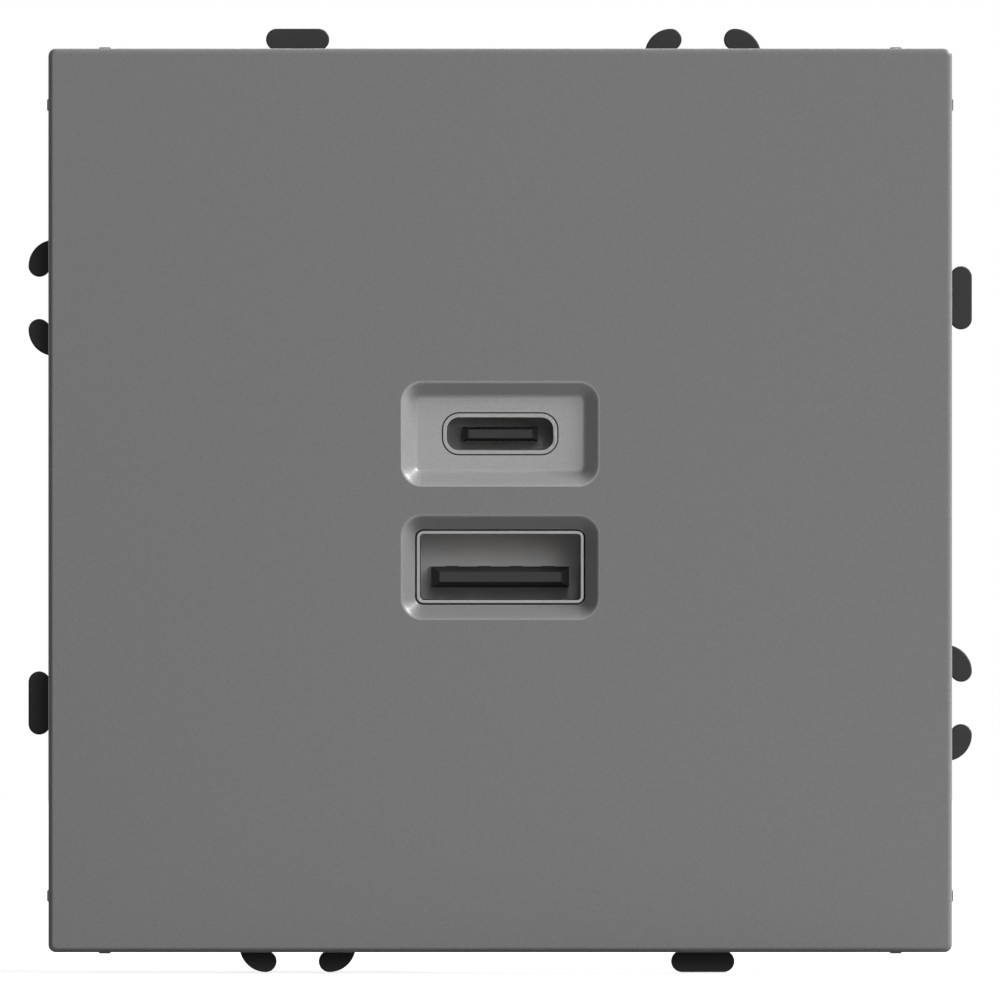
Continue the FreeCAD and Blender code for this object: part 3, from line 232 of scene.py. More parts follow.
class Finish(NodeBench):
    """A material that is being built, with short ways to vary its colour, gloss and relief."""

    def __init__(self, name, colour, roughness, metallic=0.0, specular=0.5):
        self.material = bpy.data.materials.new(name)
        self.material.use_nodes = True
        super().__init__(self.material.node_tree)
        self.shader = self.tree.nodes["Principled BSDF"]
        self.colour = tuple(colour) + (1.0,)
        self.place = self.add("ShaderNodeTexCoord").outputs["Object"]
        self.relief = None
        self.feed(
            self.shader, Base_Color=self.colour, Roughness=roughness, Metallic=metallic, Specular_IOR_Level=specular)

    def stretch(self, scale, centre=(0, 0, 0), turn=(0, 0, 0)):
        """The object's own coordinates, moved to a centre, turned and scaled."""
        node = self.add("ShaderNodeMapping", vector_type="TEXTURE")
        return self.feed(node, Location=centre, Rotation=turn, Scale=scale, Vector=self.place).outputs["Vector"]

    def noise(self, pitch, detail=2.0, roughness=0.5, place=None):
        node = self.add("ShaderNodeTexNoise")
        self.feed(node, Scale=1 / pitch, Detail=detail, Roughness=roughness, Vector=place or self.place)
        return node.outputs["Fac"]

    def bricks(self, place, length, height, gap, shift):
        """The joints of a wall of bricks, which look like tracks when they are thin."""
        node = self.add("ShaderNodeTexBrick", offset=shift, offset_frequency=3, squash=1.7, squash_frequency=4)
        self.feed(node, Scale=1 / MM, Mortar_Size=gap / 2 / MM, Mortar_Smooth=0.2)
        self.feed(node, Brick_Width=length / MM, Row_Height=height / MM, Vector=place)
        return node.outputs["Fac"]

    def spread(self, value, low, high, start=0.3, end=0.7):
        """Map a value that lies between start and end to the range from low to high."""
        node = self.add("ShaderNodeMapRange")
        return self.feed(node, From_Min=start, From_Max=end, To_Min=low, To_Max=high, Value=value).outputs["Result"]

    def mix(self, factor, first, second):
        """A blend of two colours, each given as three numbers or as another node's output."""
        node = self.add("ShaderNodeMix", data_type="RGBA")
        self.put(factor, node.inputs["Factor"])
        for socket, value in zip(node.inputs[6:8], (first, second)):
            self.put(value if isinstance(value, bpy.types.NodeSocket) else tuple(value) + (1.0,), socket)
        return node.outputs[2]

    def vary_colour(self, factor, dark, light):
        """Let the colour run between two multiples of itself."""
        shades = [tuple(min(1.0, c * share) for c in self.colour[:3]) for share in (dark, light)]
        self.feed(self.shader, Base_Color=self.mix(factor, *shades))

    def vary_roughness(self, value, low, high):
        self.feed(self.shader, Roughness=self.spread(value, low, high))

    def raise_relief(self, height, depth):
        """Add a bump to the shader, on top of any that is there."""
        node = self.feed(self.add("ShaderNodeBump"), Strength=1.0, Distance=depth, Height=height)
        if self.relief:
            self.feed(node, Normal=self.relief)
        self.relief = node.outputs["Normal"]
        self.feed(self.shader, Normal=self.relief)


def lacquer(name, colour, roughness, specular, plate):
    """Satin lacquer with fine grains."""
    finish = Finish(name, colour, roughness, specular=specular)
    grain = finish.noise(plate.grain_pitch, detail=1.0)
    cloud = finish.noise(plate.grain_pitch * 3, detail=2.0)
    finish.vary_colour(finish.math("ADD", finish.spread(grain, 0, 0.88), finish.spread(cloud, 0, 0.12)), 0.9, 1.1)
    finish.vary_roughness(grain, roughness * 0.9, roughness * 1.1)
    finish.raise_relief(grain, plate.grain_depth)
    return finish.material


def moulded(name, colour, pitch=0.0003, depth=0.00001, roughness=0.5, specular=0.3, flow_contrast=0.1):
    """Moulded plastic with a spark-eroded texture and faint flow marks."""
    finish = Finish(name, colour, roughness, specular=specular)
    fine = finish.noise(pitch, detail=3.0)
    flow = finish.noise(pitch * 30, detail=3.0, roughness=0.6)
    finish.vary_colour(finish.spread(flow, 0, 1), 1 - flow_contrast, 1 + flow_contrast)
    finish.vary_roughness(flow, roughness * 0.9, roughness * 1.1)
    finish.raise_relief(fine, depth)
    return finish.material


def plated(name, colour, roughness=0.3, brush=(1, 1, 1), depth=0.000002):
    """Plated metal with drawing lines, stains and small pits."""
    finish = Finish(name, colour, roughness, metallic=1.0)
    lines = finish.noise(0.00008, detail=2.0, place=finish.stretch(brush))
    stain = finish.noise(0.0016, detail=4.0, roughness=0.6)
    finish.vary_colour(finish.spread(stain, 0, 1), 0.95, 1.03)
    finish.vary_roughness(stain, roughness * 0.85, roughness * 1.15)
    finish.raise_relief(lines, depth)
    return finish.material


def dipped(name, colour):
    """Dipped resin with a glossy, slightly wavy coat."""
    finish = Finish(name, colour, 0.22, specular=0.5)
    wave = finish.noise(0.0014, detail=2.0)
    finish.vary_colour(finish.spread(wave, 0, 1), 0.85, 1.1)
    finish.raise_relief(wave, 0.00006)
    return finish.material


def circuit_board(name):
    """Green solder mask over copper tracks of two widths, on woven glass."""
    finish = Finish(name, (0.008, 0.062, 0.022), 0.3, specular=0.5)
    upright = finish.stretch((1, 1, 1), turn=(math.pi / 2, 0, 0))
    leaning = finish.stretch((1, 1, 1), centre=(0.0013, 0, 0.0021), turn=(math.pi / 2, math.pi / 2, 0))
    narrow = finish.bricks(upright, 0.0052, 0.0014, 0.00018, 0.37)
    wide = finish.bricks(leaning, 0.0098, 0.0027, 0.00036, 0.61)
    track = finish.math("MAXIMUM", narrow, wide)
    weave = finish.spread(finish.noise(0.0004, detail=1.0), 0, 1)
    ground = finish.mix(weave, (0.0075, 0.059, 0.021), (0.0085, 0.066, 0.024))
    finish.feed(finish.shader, Base_Color=finish.mix(track, ground, (0.0105, 0.08, 0.029)))
    finish.raise_relief(track, 0.00002)
    return finish.material


def wrapped(name, colour, turn_height):
    """Glossy tape in overlapping turns along Z."""
    finish = Finish(name, colour, 0.25, specular=0.5)
    wave = finish.add("ShaderNodeTexWave", wave_type="BANDS", bands_direction="Z", wave_profile="SAW")
    band_at_scale_1 = 0.314
    finish.feed(wave, Scale=band_at_scale_1 / turn_height, Distortion=0.6, Vector=finish.place)
    step = wave.outputs["Fac"]
    finish.vary_colour(finish.spread(step, 0, 1, 0, 1), 0.82, 1.05)
    finish.raise_relief(step, 0.00004)
    return finish.material


def ground_ferrite(name):
    """Dark, grainy ferrite with ground faces."""
    finish = Finish(name, (0.022, 0.022, 0.024), 0.55, specular=0.4)
    grain = finish.noise(0.0002, detail=4.0, roughness=0.7)
    finish.vary_colour(finish.spread(grain, 0, 1), 0.75, 1.5)
    finish.raise_relief(grain, 0.00002)
    return finish.material


# Shapes


def add_object(name, mesh):
    """Put a mesh, a lamp or a camera into the scene."""
    item = bpy.data.objects.new(name, mesh)
    bpy.context.scene.collection.objects.link(item)
    return item


def mesh_from(build, name):
    """Turn a finished bmesh into a mesh."""
    mesh = bpy.data.meshes.new(name)
    build.to_mesh(mesh)
    build.free()
    return mesh


def welded_copy(node, shape=None):
    """A copy of a solid's mesh with its triangles joined up and its flat faces made whole, then shaped by a rule."""
    build = bmesh.new()
    build.from_mesh(frame["nodes"][node].data)
    bmesh.ops.remove_doubles(build, verts=build.verts, dist=WELD)
    bmesh.ops.dissolve_limit(
        build, angle_limit=FLAT, verts=build.verts, edges=build.edges, use_dissolve_boundaries=False)
    for face in build.faces:
        face.material_index = 0
    if shape:
        build.normal_update()
        shape(build)
    mesh = mesh_from(build, f"{node}_finished")
    mesh.materials.clear()
    forget_normals(mesh)
    return mesh


def forget_normals(mesh):
    """Drop the stored normals, which would hide the sharp edges."""
    if "custom_normal" in mesh.attributes:
        mesh.attributes.remove(mesh.attributes["custom_normal"])


def settle(item):
    """Work the modifiers into the mesh."""
    bpy.context.view_layer.update()
    depsgraph = bpy.context.evaluated_depsgraph_get()
    mesh = bpy.data.meshes.new_from_object(
        item.evaluated_get(depsgraph), preserve_all_data_layers=True, depsgraph=depsgraph)
    item.modifiers.clear()
    item.data = mesh


def shade(item, bevel=0.0, segments=2):
    """Round the sharp edges a little and shade the rest smoothly."""
    if bevel:
        rounding = item.modifiers.new("Soft edges", "BEVEL")
        rounding.width = bevel
        rounding.segments = segments
        rounding.limit_method = "ANGLE"
        rounding.angle_limit = SMOOTH
        rounding.use_clamp_overlap = True
        settle(item)
    mesh = item.data
    forget_normals(mesh)
    mesh.shade_smooth()
    mesh.set_sharp_from_angle(angle=SMOOTH)
    normals = item.modifiers.new("Even shading", "WEIGHTED_NORMAL")
    normals.mode = "FACE_AREA"
    normals.keep_sharp = True
    settle(item)


def paint(item, *materials):
    """Give an object its materials, in place of any that it has."""
    item.data.materials.clear()
    for material in materials:
        item.data.materials.append(material)


def stand_for(node, items):
    """Join finished objects and let them take the place of a solid, on the body that the solid rides on."""
    first = items[0]
    if len(items) > 1:
        with bpy.context.temp_override(active_object=first, selected_editable_objects=items, object=first):
            bpy.ops.object.join()
    first.name = f"{node}_finished"
    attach(first, frame["nodes"][node]["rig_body"])
    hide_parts(node)
    return first


def finished(node, materials, bevel=0.0, segments=2, choose=None, shape=None):
    """A soft-edged copy of a solid in its material, or in several that a rule shares out over the faces."""
    item = add_object(f"{node}_finished", welded_copy(node, shape))
    shade(item, bevel, segments)
    paint(item, *materials)
    if choose:
        for face in item.data.polygons:
            face.material_index = choose(face)
    return stand_for(node, [item])


def skin(build, rings):
    """Faces from each ring of corners to the next, where a ring of one corner is a tip."""
    count = max(len(ring) for ring in rings)
    for lower, upper in zip(rings, rings[1:]):
        for step in range(count):
            after = (step + 1) % count
            corners = [lower[step % len(lower)], lower[after % len(lower)],
                       upper[after % len(upper)], upper[step % len(upper)]]
            build.faces.new(list(dict.fromkeys(corners)))


def turned_mesh(name, profile, centre=(0, 0), segments=48):
    """A mesh turned about an axis along Y, from points given as radius and y."""
    build = bmesh.new()
    rings = []
    for radius, y in profile:
        count = segments if radius > WELD else 1
        turns = [2 * math.pi * step / segments for step in range(count)]
        rings.append([
            build.verts.new((centre[0] + radius * math.cos(turn), y, centre[1] + radius * math.sin(turn)))
            for turn in turns])
    skin(build, rings)
    bmesh.ops.recalc_face_normals(build, faces=build.faces)
    return mesh_from(build, name)


def box_mesh(name, low, high):
    """A box from its lowest to its highest corner."""
    build = bmesh.new()
    bmesh.ops.create_cube(build, size=1.0)
    size = Vector(high) - Vector(low)
    middle = (Vector(high) + Vector(low)) / 2
    bmesh.ops.transform(
        build, matrix=Matrix.Translation(middle) @ Matrix.Diagonal(size).to_4x4(), verts=build.verts)
    return mesh_from(build, name)


# Geometry Nodes


class Growth(NodeBench):
    """A Geometry Nodes tree with named inputs, which ends in Realize Instances and Set Material."""

    def __init__(self, name, inputs):
        super().__init__(bpy.data.node_groups.new(name, "GeometryNodeTree"))
        face = self.tree.interface
        face.new_socket("Geometry", in_out="INPUT", socket_type="NodeSocketGeometry")
        for label, kind in inputs:
            face.new_socket(label, in_out="INPUT", socket_type=f"NodeSocket{kind}")
        face.new_socket("Material", in_out="INPUT", socket_type="NodeSocketMaterial")
        face.new_socket("Geometry", in_out="OUTPUT", socket_type="NodeSocketGeometry")
        self.sizes = self.add("NodeGroupInput").outputs

    def end(self, geometry):
        real = self.feed(self.add("GeometryNodeRealizeInstances"), Geometry=geometry)
        coat = self.feed(
            self.add("GeometryNodeSetMaterial"), Geometry=real.outputs[0], Material=self.sizes["Material"])
        self.feed(self.add("NodeGroupOutput"), Geometry=coat.outputs[0])

    def grow(self, name, mesh, **values):
        """Run the tree once and keep the result as a plain mesh."""
        item = add_object(name, mesh or bpy.data.meshes.new(name))
        modifier = item.modifiers.new("Growth", "NODES")
        modifier.node_group = self.tree
        for socket in self.tree.interface.items_tree:
            key = socket.name.replace(" ", "_")
            if socket.in_out == "INPUT" and key in values:
                modifier[socket.identifier] = values[key]
        settle(item)
        return item


def helix_growth():
    """A bar of three or more sides that winds round an axis along Y."""
    growth = Growth("helix", [
        ("Turns", "Float"), ("Steps", "Int"), ("Radius", "Float"), ("Length", "Float"), ("Bar radius", "Float"),
        ("Bar sides", "Int"), ("Start", "Vector")])
    sizes = growth.sizes
    spiral = growth.feed(
        growth.add("GeometryNodeCurveSpiral"), Resolution=sizes["Steps"], Rotations=sizes["Turns"],
        Start_Radius=sizes["Radius"], End_Radius=sizes["Radius"], Height=sizes["Length"])
    level = growth.feed(growth.add("GeometryNodeSetCurveNormal", mode="Z_UP"), Curve=spiral.outputs[0])
    bar = growth.feed(
        growth.add("GeometryNodeCurvePrimitiveCircle"), Resolution=sizes["Bar sides"], Radius=sizes["Bar radius"])
    sweep = growth.feed(
        growth.add("GeometryNodeCurveToMesh"), Curve=level.outputs[0], Profile_Curve=bar.outputs[0], Fill_Caps=True)
    along_y = growth.feed(
        growth.add("GeometryNodeTransform"), Geometry=sweep.outputs[0], Rotation=(-math.pi / 2, 0, 0),
        Translation=sizes["Start"])
    growth.end(along_y.outputs[0])
    return growth


def scatter_growth():
    """Copies of one small piece at the points of a mesh, each turned as its point says."""
    growth = Growth("scatter", [("Piece", "Object")])
    piece = growth.feed(growth.add("GeometryNodeObjectInfo"), Object=growth.sizes["Piece"])
    turn = growth.feed(growth.add("GeometryNodeInputNamedAttribute", data_type="FLOAT_VECTOR"), Name="turn")
    copies = growth.feed(
        growth.add("GeometryNodeInstanceOnPoints"), Points=growth.sizes["Geometry"],
        Instance=piece.outputs["Geometry"], Rotation=turn.outputs["Attribute"])
    growth.end(copies.outputs[0])
    return growth


GROWTHS = {}


def growth_named(name):
    """A tree that is built when it is first asked for."""
    if name not in GROWTHS:
        GROWTHS[name] = {"helix": helix_growth, "scatter": scatter_growth}[name]()
    return GROWTHS[name]


def scatter(name, piece, places, material, body, turns=None):
    """Copies of a small mesh at places of the part, which ride on a body."""
    points = bpy.data.meshes.new(name)
    points.from_pydata(places, [], [])
    layer = points.attributes.new("turn", "FLOAT_VECTOR", "POINT")
    for index, turn in enumerate(turns or []):
        layer.data[index].vector = turn
    template = add_object(f"{name}_template", piece)
    result = growth_named("scatter").grow(name, points, Piece=template, Material=material)
    bpy.data.objects.remove(template)
    shade(result)
    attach(result, body)


def helix(name, centre, start_y, end_y, radius, pitch, bar_radius, sides, steps, material):
    """A bar that winds round an axis along Y, from one level to another."""
    length = end_y - start_y
    return growth_named("helix").grow(
        name, None, Turns=length / pitch, Steps=steps, Radius=radius, Length=length, Bar_radius=bar_radius,
        Bar_sides=sides, Start=(centre[0], start_y, centre[1]), Material=material)


# Pieces


class SOCKET_OT_face_plate(bpy.types.Operator):
    """Finish the lacquered face plate with its two recesses"""

    bl_idname = "wall_socket.face_plate"
    bl_label = "Face plate"

    def execute(self, context):
        plate = context.scene.wall_socket.plate
        materials = [
            lacquer("graphite_lacquer", plate.lacquer, plate.roughness, plate.specular, plate),
            # The two recess finishes are lighter copies of the lacquer: painted light.
            lacquer("upper_recess_lacquer", plate.upper_lacquer, plate.recess_roughness, plate.recess_specular, plate),
            lacquer("lower_recess_lacquer", plate.lower_lacquer, plate.recess_roughness, plate.recess_specular, plate),
            moulded("plate_rear", (0.04, 0.04, 0.042), roughness=0.6),
        ]
        finished("front_plate", materials, choose=plate_side, shape=soften_floor)
        return {"FINISHED"}


def soften_floor(build):
    """Round the foot of the slopes in the upper recess."""
    foot = [edge for edge in build.edges if at_foot(edge)]
    bmesh.ops.bevel(build, geom=foot, offset=0.17 * MM, segments=4, profile=0.5, affect="EDGES")


def at_foot(edge):
    """Whether an edge lies between the floor of the upper recess and a slope."""
    if any(abs(v.co.y - RECESS_FLOOR_Y) > 0.01 * MM or v.co.z < 0 for v in edge.verts):
        return False
    facing = sorted(face.normal.y for face in edge.link_faces)
    return len(facing) == 2 and facing[0] < -0.99 and -0.95 < facing[1] < -0.3


def plate_side(face):
    """Which of the plate's materials a face has: outside, in one of the recesses, where lighter copies of the lacquer
    are painted light, or at the rear.
    """
    place = face.center
    in_recess = abs(place.x) < RECESS_HALF_WIDTH and abs(abs(place.z) - PORT_Z) < RECESS_HALF_HEIGHT
    if in_recess and FACE_Y + WELD < place.y < RECESS_FLOOR_Y + 0.05 * MM:
        return 1 if place.z > 0 else 2
    if face.normal.y > 0.5 and place.y > FACE_Y + 0.2 * MM:
        return 3
    if place.y > RECESS_FLOOR_Y + 0.1 * MM and max(abs(place.x), abs(place.z)) < SKIRT_INSIDE:
        return 3
    return 0


class SOCKET_OT_support_frame(bpy.types.Operator):
    """Finish the black support frame and its linking tabs"""

    bl_idname = "wall_socket.support_frame"
    bl_label = "Support frame"

    def execute(self, context):
        plastic = context.scene.wall_socket.plastic
        black = moulded(
            "black_frame_plastic", plastic.frame, pitch=plastic.texture_pitch, depth=plastic.texture_depth,
            specular=0.22)
        finished("support_frame", [black], bevel=0.06 * MM)
        places = [(x, 0, z) for x, z in mirrored(27.0, 27.0) + mirrored(31.0, 17.5) + mirrored(17.5, 31.0)]
        body = frame["nodes"]["support_frame"]["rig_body"]
        scatter("frame_ejector_marks", ejector_mark(), places, black, body)
        return {"FINISHED"}


def mirrored(x, z):
    """A place given in millimetres and its mirror images, to the left and below."""
    return [(hand * x * MM, rise * z * MM) for hand in (1, -1) for rise in (1, -1)]


def ejector_mark():
    """The low ring that an ejector pin leaves in a moulding."""
    profile = [(1.0, 0), (1.05, 0.04), (1.2, 0.04), (1.25, 0), (1.2, -0.05), (1.05, -0.05), (1.0, 0)]
    return turned_mesh("mark", [(radius * MM, y * MM) for radius, y in profile], segments=32)


class SOCKET_OT_receptacles(bpy.types.Operator):
    """Finish the two ports: shells, tongues and contacts"""

    bl_idname = "wall_socket.receptacles"
    bl_label = "Receptacles"

    def execute(self, context):
        sizes = context.scene.wall_socket
        drawn = {"brush": (1, 12, 1), "depth": 0.000001}
        # Darker copies of the nickel on the rim and the inside: painted shade.
        rim = plated("shell_rim", sizes.metal.rim, 0.38, **drawn)
        nickel = plated("nickel_plating", sizes.metal.nickel, 0.3, **drawn)
        inside = plated("shell_inside", sizes.metal.inside, 0.4, **drawn)
        gold = plated("gold_plating", sizes.metal.gold, 0.22)
        smooth = {"pitch": 0.0002, "depth": 0.000004, "roughness": 0.45, "specular": 0.2}
        tongue = moulded("tongue_plastic", sizes.plastic.tongue, **smooth)
        # Paler copy of the tongue plastic on the slopes: painted light.
        slope = moulded("tongue_slope_plastic", sizes.plastic.tongue_slope, **smooth)
        for port, base_colour_painted_light in (("a", sizes.plastic.lower_base), ("c", sizes.plastic.upper_base)):
            # The block's colour is partly its own, partly painted light.
            base = moulded(f"usb_{port}_base_plastic", base_colour_painted_light, pitch=0.0002, depth=0.000006)
            finished(f"usb_{port}_shell", [rim, nickel, inside], bevel=0.06 * MM, segments=3, choose=shell_side)
            finished(f"usb_{port}_tongue", [tongue, base, slope], choose=tongue_part)
            contacts = finished(f"usb_{port}_contacts", [gold, tongue], bevel=0.01 * MM, choose=front_end)
            low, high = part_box(f"usb_{port}_tongue")
            press_flat(contacts, (low.z + high.z) / 2, 0.3)
        return {"FINISHED"}


def press_flat(item, middle, keep):
    """Flatten contacts towards the tongue between them, to a share of their thickness."""
    heights = [vertex.co.z - middle for vertex in item.data.vertices]
    surface = min(abs(height) for height in heights)
    for vertex, height in zip(item.data.vertices, heights):
        vertex.co.z = middle + math.copysign(surface + (abs(height) - surface) * keep, height)


def shell_side(face):
    """A shell's rim and inside, both darker copies of the nickel as painted shade, and its outside."""
    rim_depth = 0.3 * MM
    if face.center.y < RECESS_FLOOR_Y + rim_depth:
        return 0
    outward = Vector((face.center.x, 0, face.center.z - math.copysign(PORT_Z, face.center.z)))
    return 1 if outward.dot(face.normal) > 0 or face.normal.y > 0.5 else 2


def tongue_part(face):
    """A dark blade whose sloping end takes a paler copy of its plastic as painted light, and the block that it stands
    on, in a pale plastic made paler still as painted light.
    """
    if face.center.y > TONGUE_BASE_Y:
        return 1
    return 2 if -0.97 < face.normal.y < -0.1 else 0


def front_end(face):
    """The plastic of the tongue covers the front ends of the contacts."""
    return 1 if face.normal.y < -0.3 else 0


class SOCKET_OT_casing(bpy.types.Operator):
    """Finish the module's cap and casing"""

    bl_idname = "wall_socket.casing"
    bl_label = "Casing"

    def execute(self, context):
        plastic = context.scene.wall_socket.plastic
        dark = moulded(
            "casing_plastic", plastic.casing, pitch=plastic.texture_pitch, depth=plastic.texture_depth,
            roughness=0.52)
        finished("module_cap", [dark], bevel=0.05 * MM)
        finished("rear_casing", [dark], bevel=0.08 * MM, shape=sink_panel)
        return {"FINISHED"}


def sink_panel(build):
    """Sink the casing's flat rear face, inside a rim that is left round its edges and openings."""
    level = max(vertex.co.y for vertex in build.verts)
    rim, depth = 1.1 * MM, 0.3 * MM
    flat = [f for f in build.faces if f.normal.y > 0.99 and abs(f.calc_center_median().y - level) < 0.01 * MM]
    bmesh.ops.inset_region(build, faces=flat, thickness=rim, depth=0, use_boundary=True, use_even_offset=True)
    bmesh.ops.inset_region(build, faces=flat, thickness=depth * 0.3, depth=-depth, use_boundary=True)


class SOCKET_OT_screws(bpy.types.Operator):
    """Cut the threads of every screw"""

    bl_idname = "wall_socket.screws"
    bl_label = "Screws"

    def execute(self, context):
        sizes = context.scene.wall_socket
        zinc = plated("zinc_plating", sizes.metal.zinc, 0.32)
        thread = sizes.thread
        machine = (thread.machine_pitch, thread.machine_depth, thread.steps)
        tapping = (thread.tapping_pitch, thread.tapping_depth, thread.steps)
        threaded("module_screws", mirrored(13.0, 21.8), (-3.0 * MM, 3.5 * MM), 1.1 * MM, tapping, zinc)
        threaded("board_screws", mirrored(16.5, 14.5), (MAIN_BOARD_FRONT_Y, 21.9 * MM), 0.9 * MM, tapping, zinc)
        for side, hand in SIDES:
            place = (hand * CLAW_SCREW_X, 0.0)
            threaded(f"claw_screw_{side}", [place], (-2.05 * MM, 25.45 * MM), MACHINE_CREST, machine, zinc)
            node, place = f"terminal_screw_{side}", (hand * TERMINAL_SCREW[0], TERMINAL_SCREW[1])
            threaded(node, [place], shank_span(node, MACHINE_CREST, place), MACHINE_CREST, machine, zinc)
        return {"FINISHED"}


def radial(vertex, place):
    """How far a vertex lies from an axis along Y."""
    return math.hypot(vertex.co.x - place[0], vertex.co.z - place[1])


def shank_span(node, radius, place):
    """Where a screw's shank starts and ends along Y."""
    levels = [v.co.y for v in frame["nodes"][node].data.vertices if abs(radial(v, place) - radius) < 0.02 * MM]
    return min(levels), max(levels)


def threaded(node, places, span, crest, cut, metal):
    """A node of screws whose shanks get a core and a ridge that winds round it, as deep as the thread is cut."""
    start_y, end_y = span
    pitch, depth, steps = cut
    near = 0.02 * MM
    mesh = welded_copy(node)
    core = crest - depth
    for place in places:
        for vertex in mesh.vertices:
            on_shank = abs(radial(vertex, place) - crest) < near
            if on_shank and start_y - near < vertex.co.y < end_y + near:
                vertex.co.x = place[0] + (vertex.co.x - place[0]) * core / crest
                vertex.co.z = place[1] + (vertex.co.z - place[1]) * core / crest
    screws = add_object(f"{node}_finished", mesh)
    shade(screws, bevel=0.07 * MM)
    paint(screws, metal)
    # A bar with three sides stands 1.5 times its radius high, and its root is sunk into the core.
    sunk = 0.05 * MM
    bar = (depth + sunk) / 1.5
    ridges = [
        helix(f"{node}_thread_{index}", place, start_y + 0.4 * MM, end_y - 0.3 * MM, crest - bar, pitch, bar, 3,
              steps, metal)
        for index, place in enumerate(places)
    ]
    for ridge in ridges:
        ridge.data.shade_flat()
    stand_for(node, [screws] + ridges)


class SOCKET_OT_claws(bpy.types.Operator):
    """Finish the spreading claws and their nuts"""

    bl_idname = "wall_socket.claws"
    bl_label = "Claws"

    def execute(self, context):
        sheet = plated("claw_sheet", context.scene.wall_socket.metal.zinc, 0.36, brush=(1, 1, 8))
        for side, _ in SIDES:
            finished(f"claw_{side}", [sheet], bevel=0.12 * MM)
            finished(f"claw_nut_{side}", [sheet], bevel=0.18 * MM)
        return {"FINISHED"}


class SOCKET_OT_terminals(bpy.types.Operator):
    """Finish the terminal block, its bars and its clamping cages"""

    bl_idname = "wall_socket.terminals"
    bl_label = "Terminals"

    def execute(self, context):
        sizes = context.scene.wall_socket
        housing = moulded(
            "terminal_plastic", sizes.plastic.terminal, pitch=0.0002, depth=0.000006, roughness=0.4, specular=0.5,
            flow_contrast=0.02)
        tinned = plated("tinned_copper", sizes.metal.solder, 0.25)
        steel = plated("cage_steel", sizes.metal.zinc, 0.34)
        finished("terminal_block", [housing], bevel=0.06 * MM)
        finished("terminal_bars", [tinned], bevel=0.05 * MM)
        for side, _ in SIDES:
            finished(f"terminal_cage_{side}", [steel], bevel=0.08 * MM)
        return {"FINISHED"}


class SOCKET_OT_boards(bpy.types.Operator):
    """Finish the two circuit boards with their solder joints and small chip parts"""

    bl_idname = "wall_socket.boards"
    bl_label = "Boards"

    def execute(self, context):
        mask = circuit_board("solder_mask")
        solder = plated("solder", context.scene.wall_socket.metal.solder, 0.2)
        black = moulded("header_plastic", (0.02, 0.02, 0.02), pitch=0.0002, depth=0.000005, roughness=0.4, specular=0.4)
        for node, material, bevel in (("main_board", mask, 0.03), ("port_board", mask, 0.03),
                                      ("header_strip", black, 0.12), ("link_pins", solder, 0.08)):
            finished(node, [material], bevel=bevel * MM)
        scatter("main_board_solder", solder_cone(), solder_places(), solder, "module")
        chip_body = moulded(
            "chip_resistor", (0.02, 0.02, 0.022), pitch=0.0001, depth=0.000002, roughness=0.35, specular=0.5)
        brick = box_mesh("body", (-0.55 * MM, 0, -0.4 * MM), (0.55 * MM, 0.42 * MM, 0.4 * MM))
        places, turns = chip_places()
        scatter("small_chip_bodies", brick, places, chip_body, "module", turns)
        scatter("small_chip_ends", chip_ends(), places, solder, "module", turns)
        return {"FINISHED"}


def solder_cone():
    """The cone of solder round a lead."""
    profile = [(0.62, 0), (0.5, 0.12), (0.3, 0.42), (0.22, 0.62), (0, 0.66)]
    return turned_mesh("cone", [(radius * MM, y * MM) for radius, y in profile], segments=12)


def chip_ends():
    """The two tinned caps of a small chip part."""
    build = bmesh.new()
    for low, high in ((-0.8, -0.55), (0.55, 0.8)):
        build.from_mesh(box_mesh("end", (low * MM, 0, -0.41 * MM), (high * MM, 0.45 * MM, 0.41 * MM)))
    return mesh_from(build, "ends")


def solder_places():
    """Where the leads of the parts on the front of the main board come through at its rear."""
    pairs = [
        (-13.5, 8.5, 1.8), (-13.5, -8.5, 1.8), (14.6, 4.6, 1.3), (14.6, -3.0, 1.3), (-12.6, 0.0, 2.6),
        (11.2, -12.2, 1.9), (10.9, 9.9, 1.3),
    ]
    points = [(x + hand * half, z) for x, z, half in pairs for hand in (1, -1)]
    points += [(-6.5, 8.6 + hand * 2.5) for hand in (1, -1)]
    points += [(-6.5, -3.4 + hand * 2.5) for hand in (1, -1)]
    points += [(3.0 + step * 2.2, z) for step in (-1.5, -0.5, 0.5, 1.5) for z in (3.2, -5.2)]
    points += [((index - 2.5) * 2.54, 13.9) for index in range(6)]
    return [(x * MM, MAIN_BOARD_REAR_Y, z * MM) for x, z in points]


def chip_places():
    """Places and turns of the small chip parts on the rear of both boards."""
    rear = [
        (-17.2, 8.0, 0), (-17.2, 6.0, 0), (-9.2, 6.2, 1), (-9.2, 3.0, 1), (2.2, 0.4, 0), (6.6, 0.2, 0), (9.6, 6.2, 1),
        (11.4, 6.8, 1), (9.8, -1.6, 0), (9.8, -3.6, 0), (-10.6, -6.0, 0), (-10.6, -12.6, 1), (11.0, 2.0, 0),
        (-2.6, 9.6, 0), (0.4, 9.6, 0), (3.4, 9.6, 0), (6.8, 9.4, 1),
    ]
    port = [(-5.4, 0.9, 0), (-5.4, -0.9, 0), (5.4, 0.9, 0), (5.4, -0.9, 0), (-9.6, 7.6, 1), (9.6, 7.6, 1),
            (-9.6, -12.2, 0), (9.6, -12.2, 0)]
    places = [(x * MM, MAIN_BOARD_REAR_Y, z * MM) for x, z, _ in rear]
    places += [(x * MM, PORT_BOARD_REAR_Y, z * MM) for x, z, _ in port]
    turns = [(0, quarter * math.pi / 2, 0) for _, _, quarter in rear + port]
    return places, turns


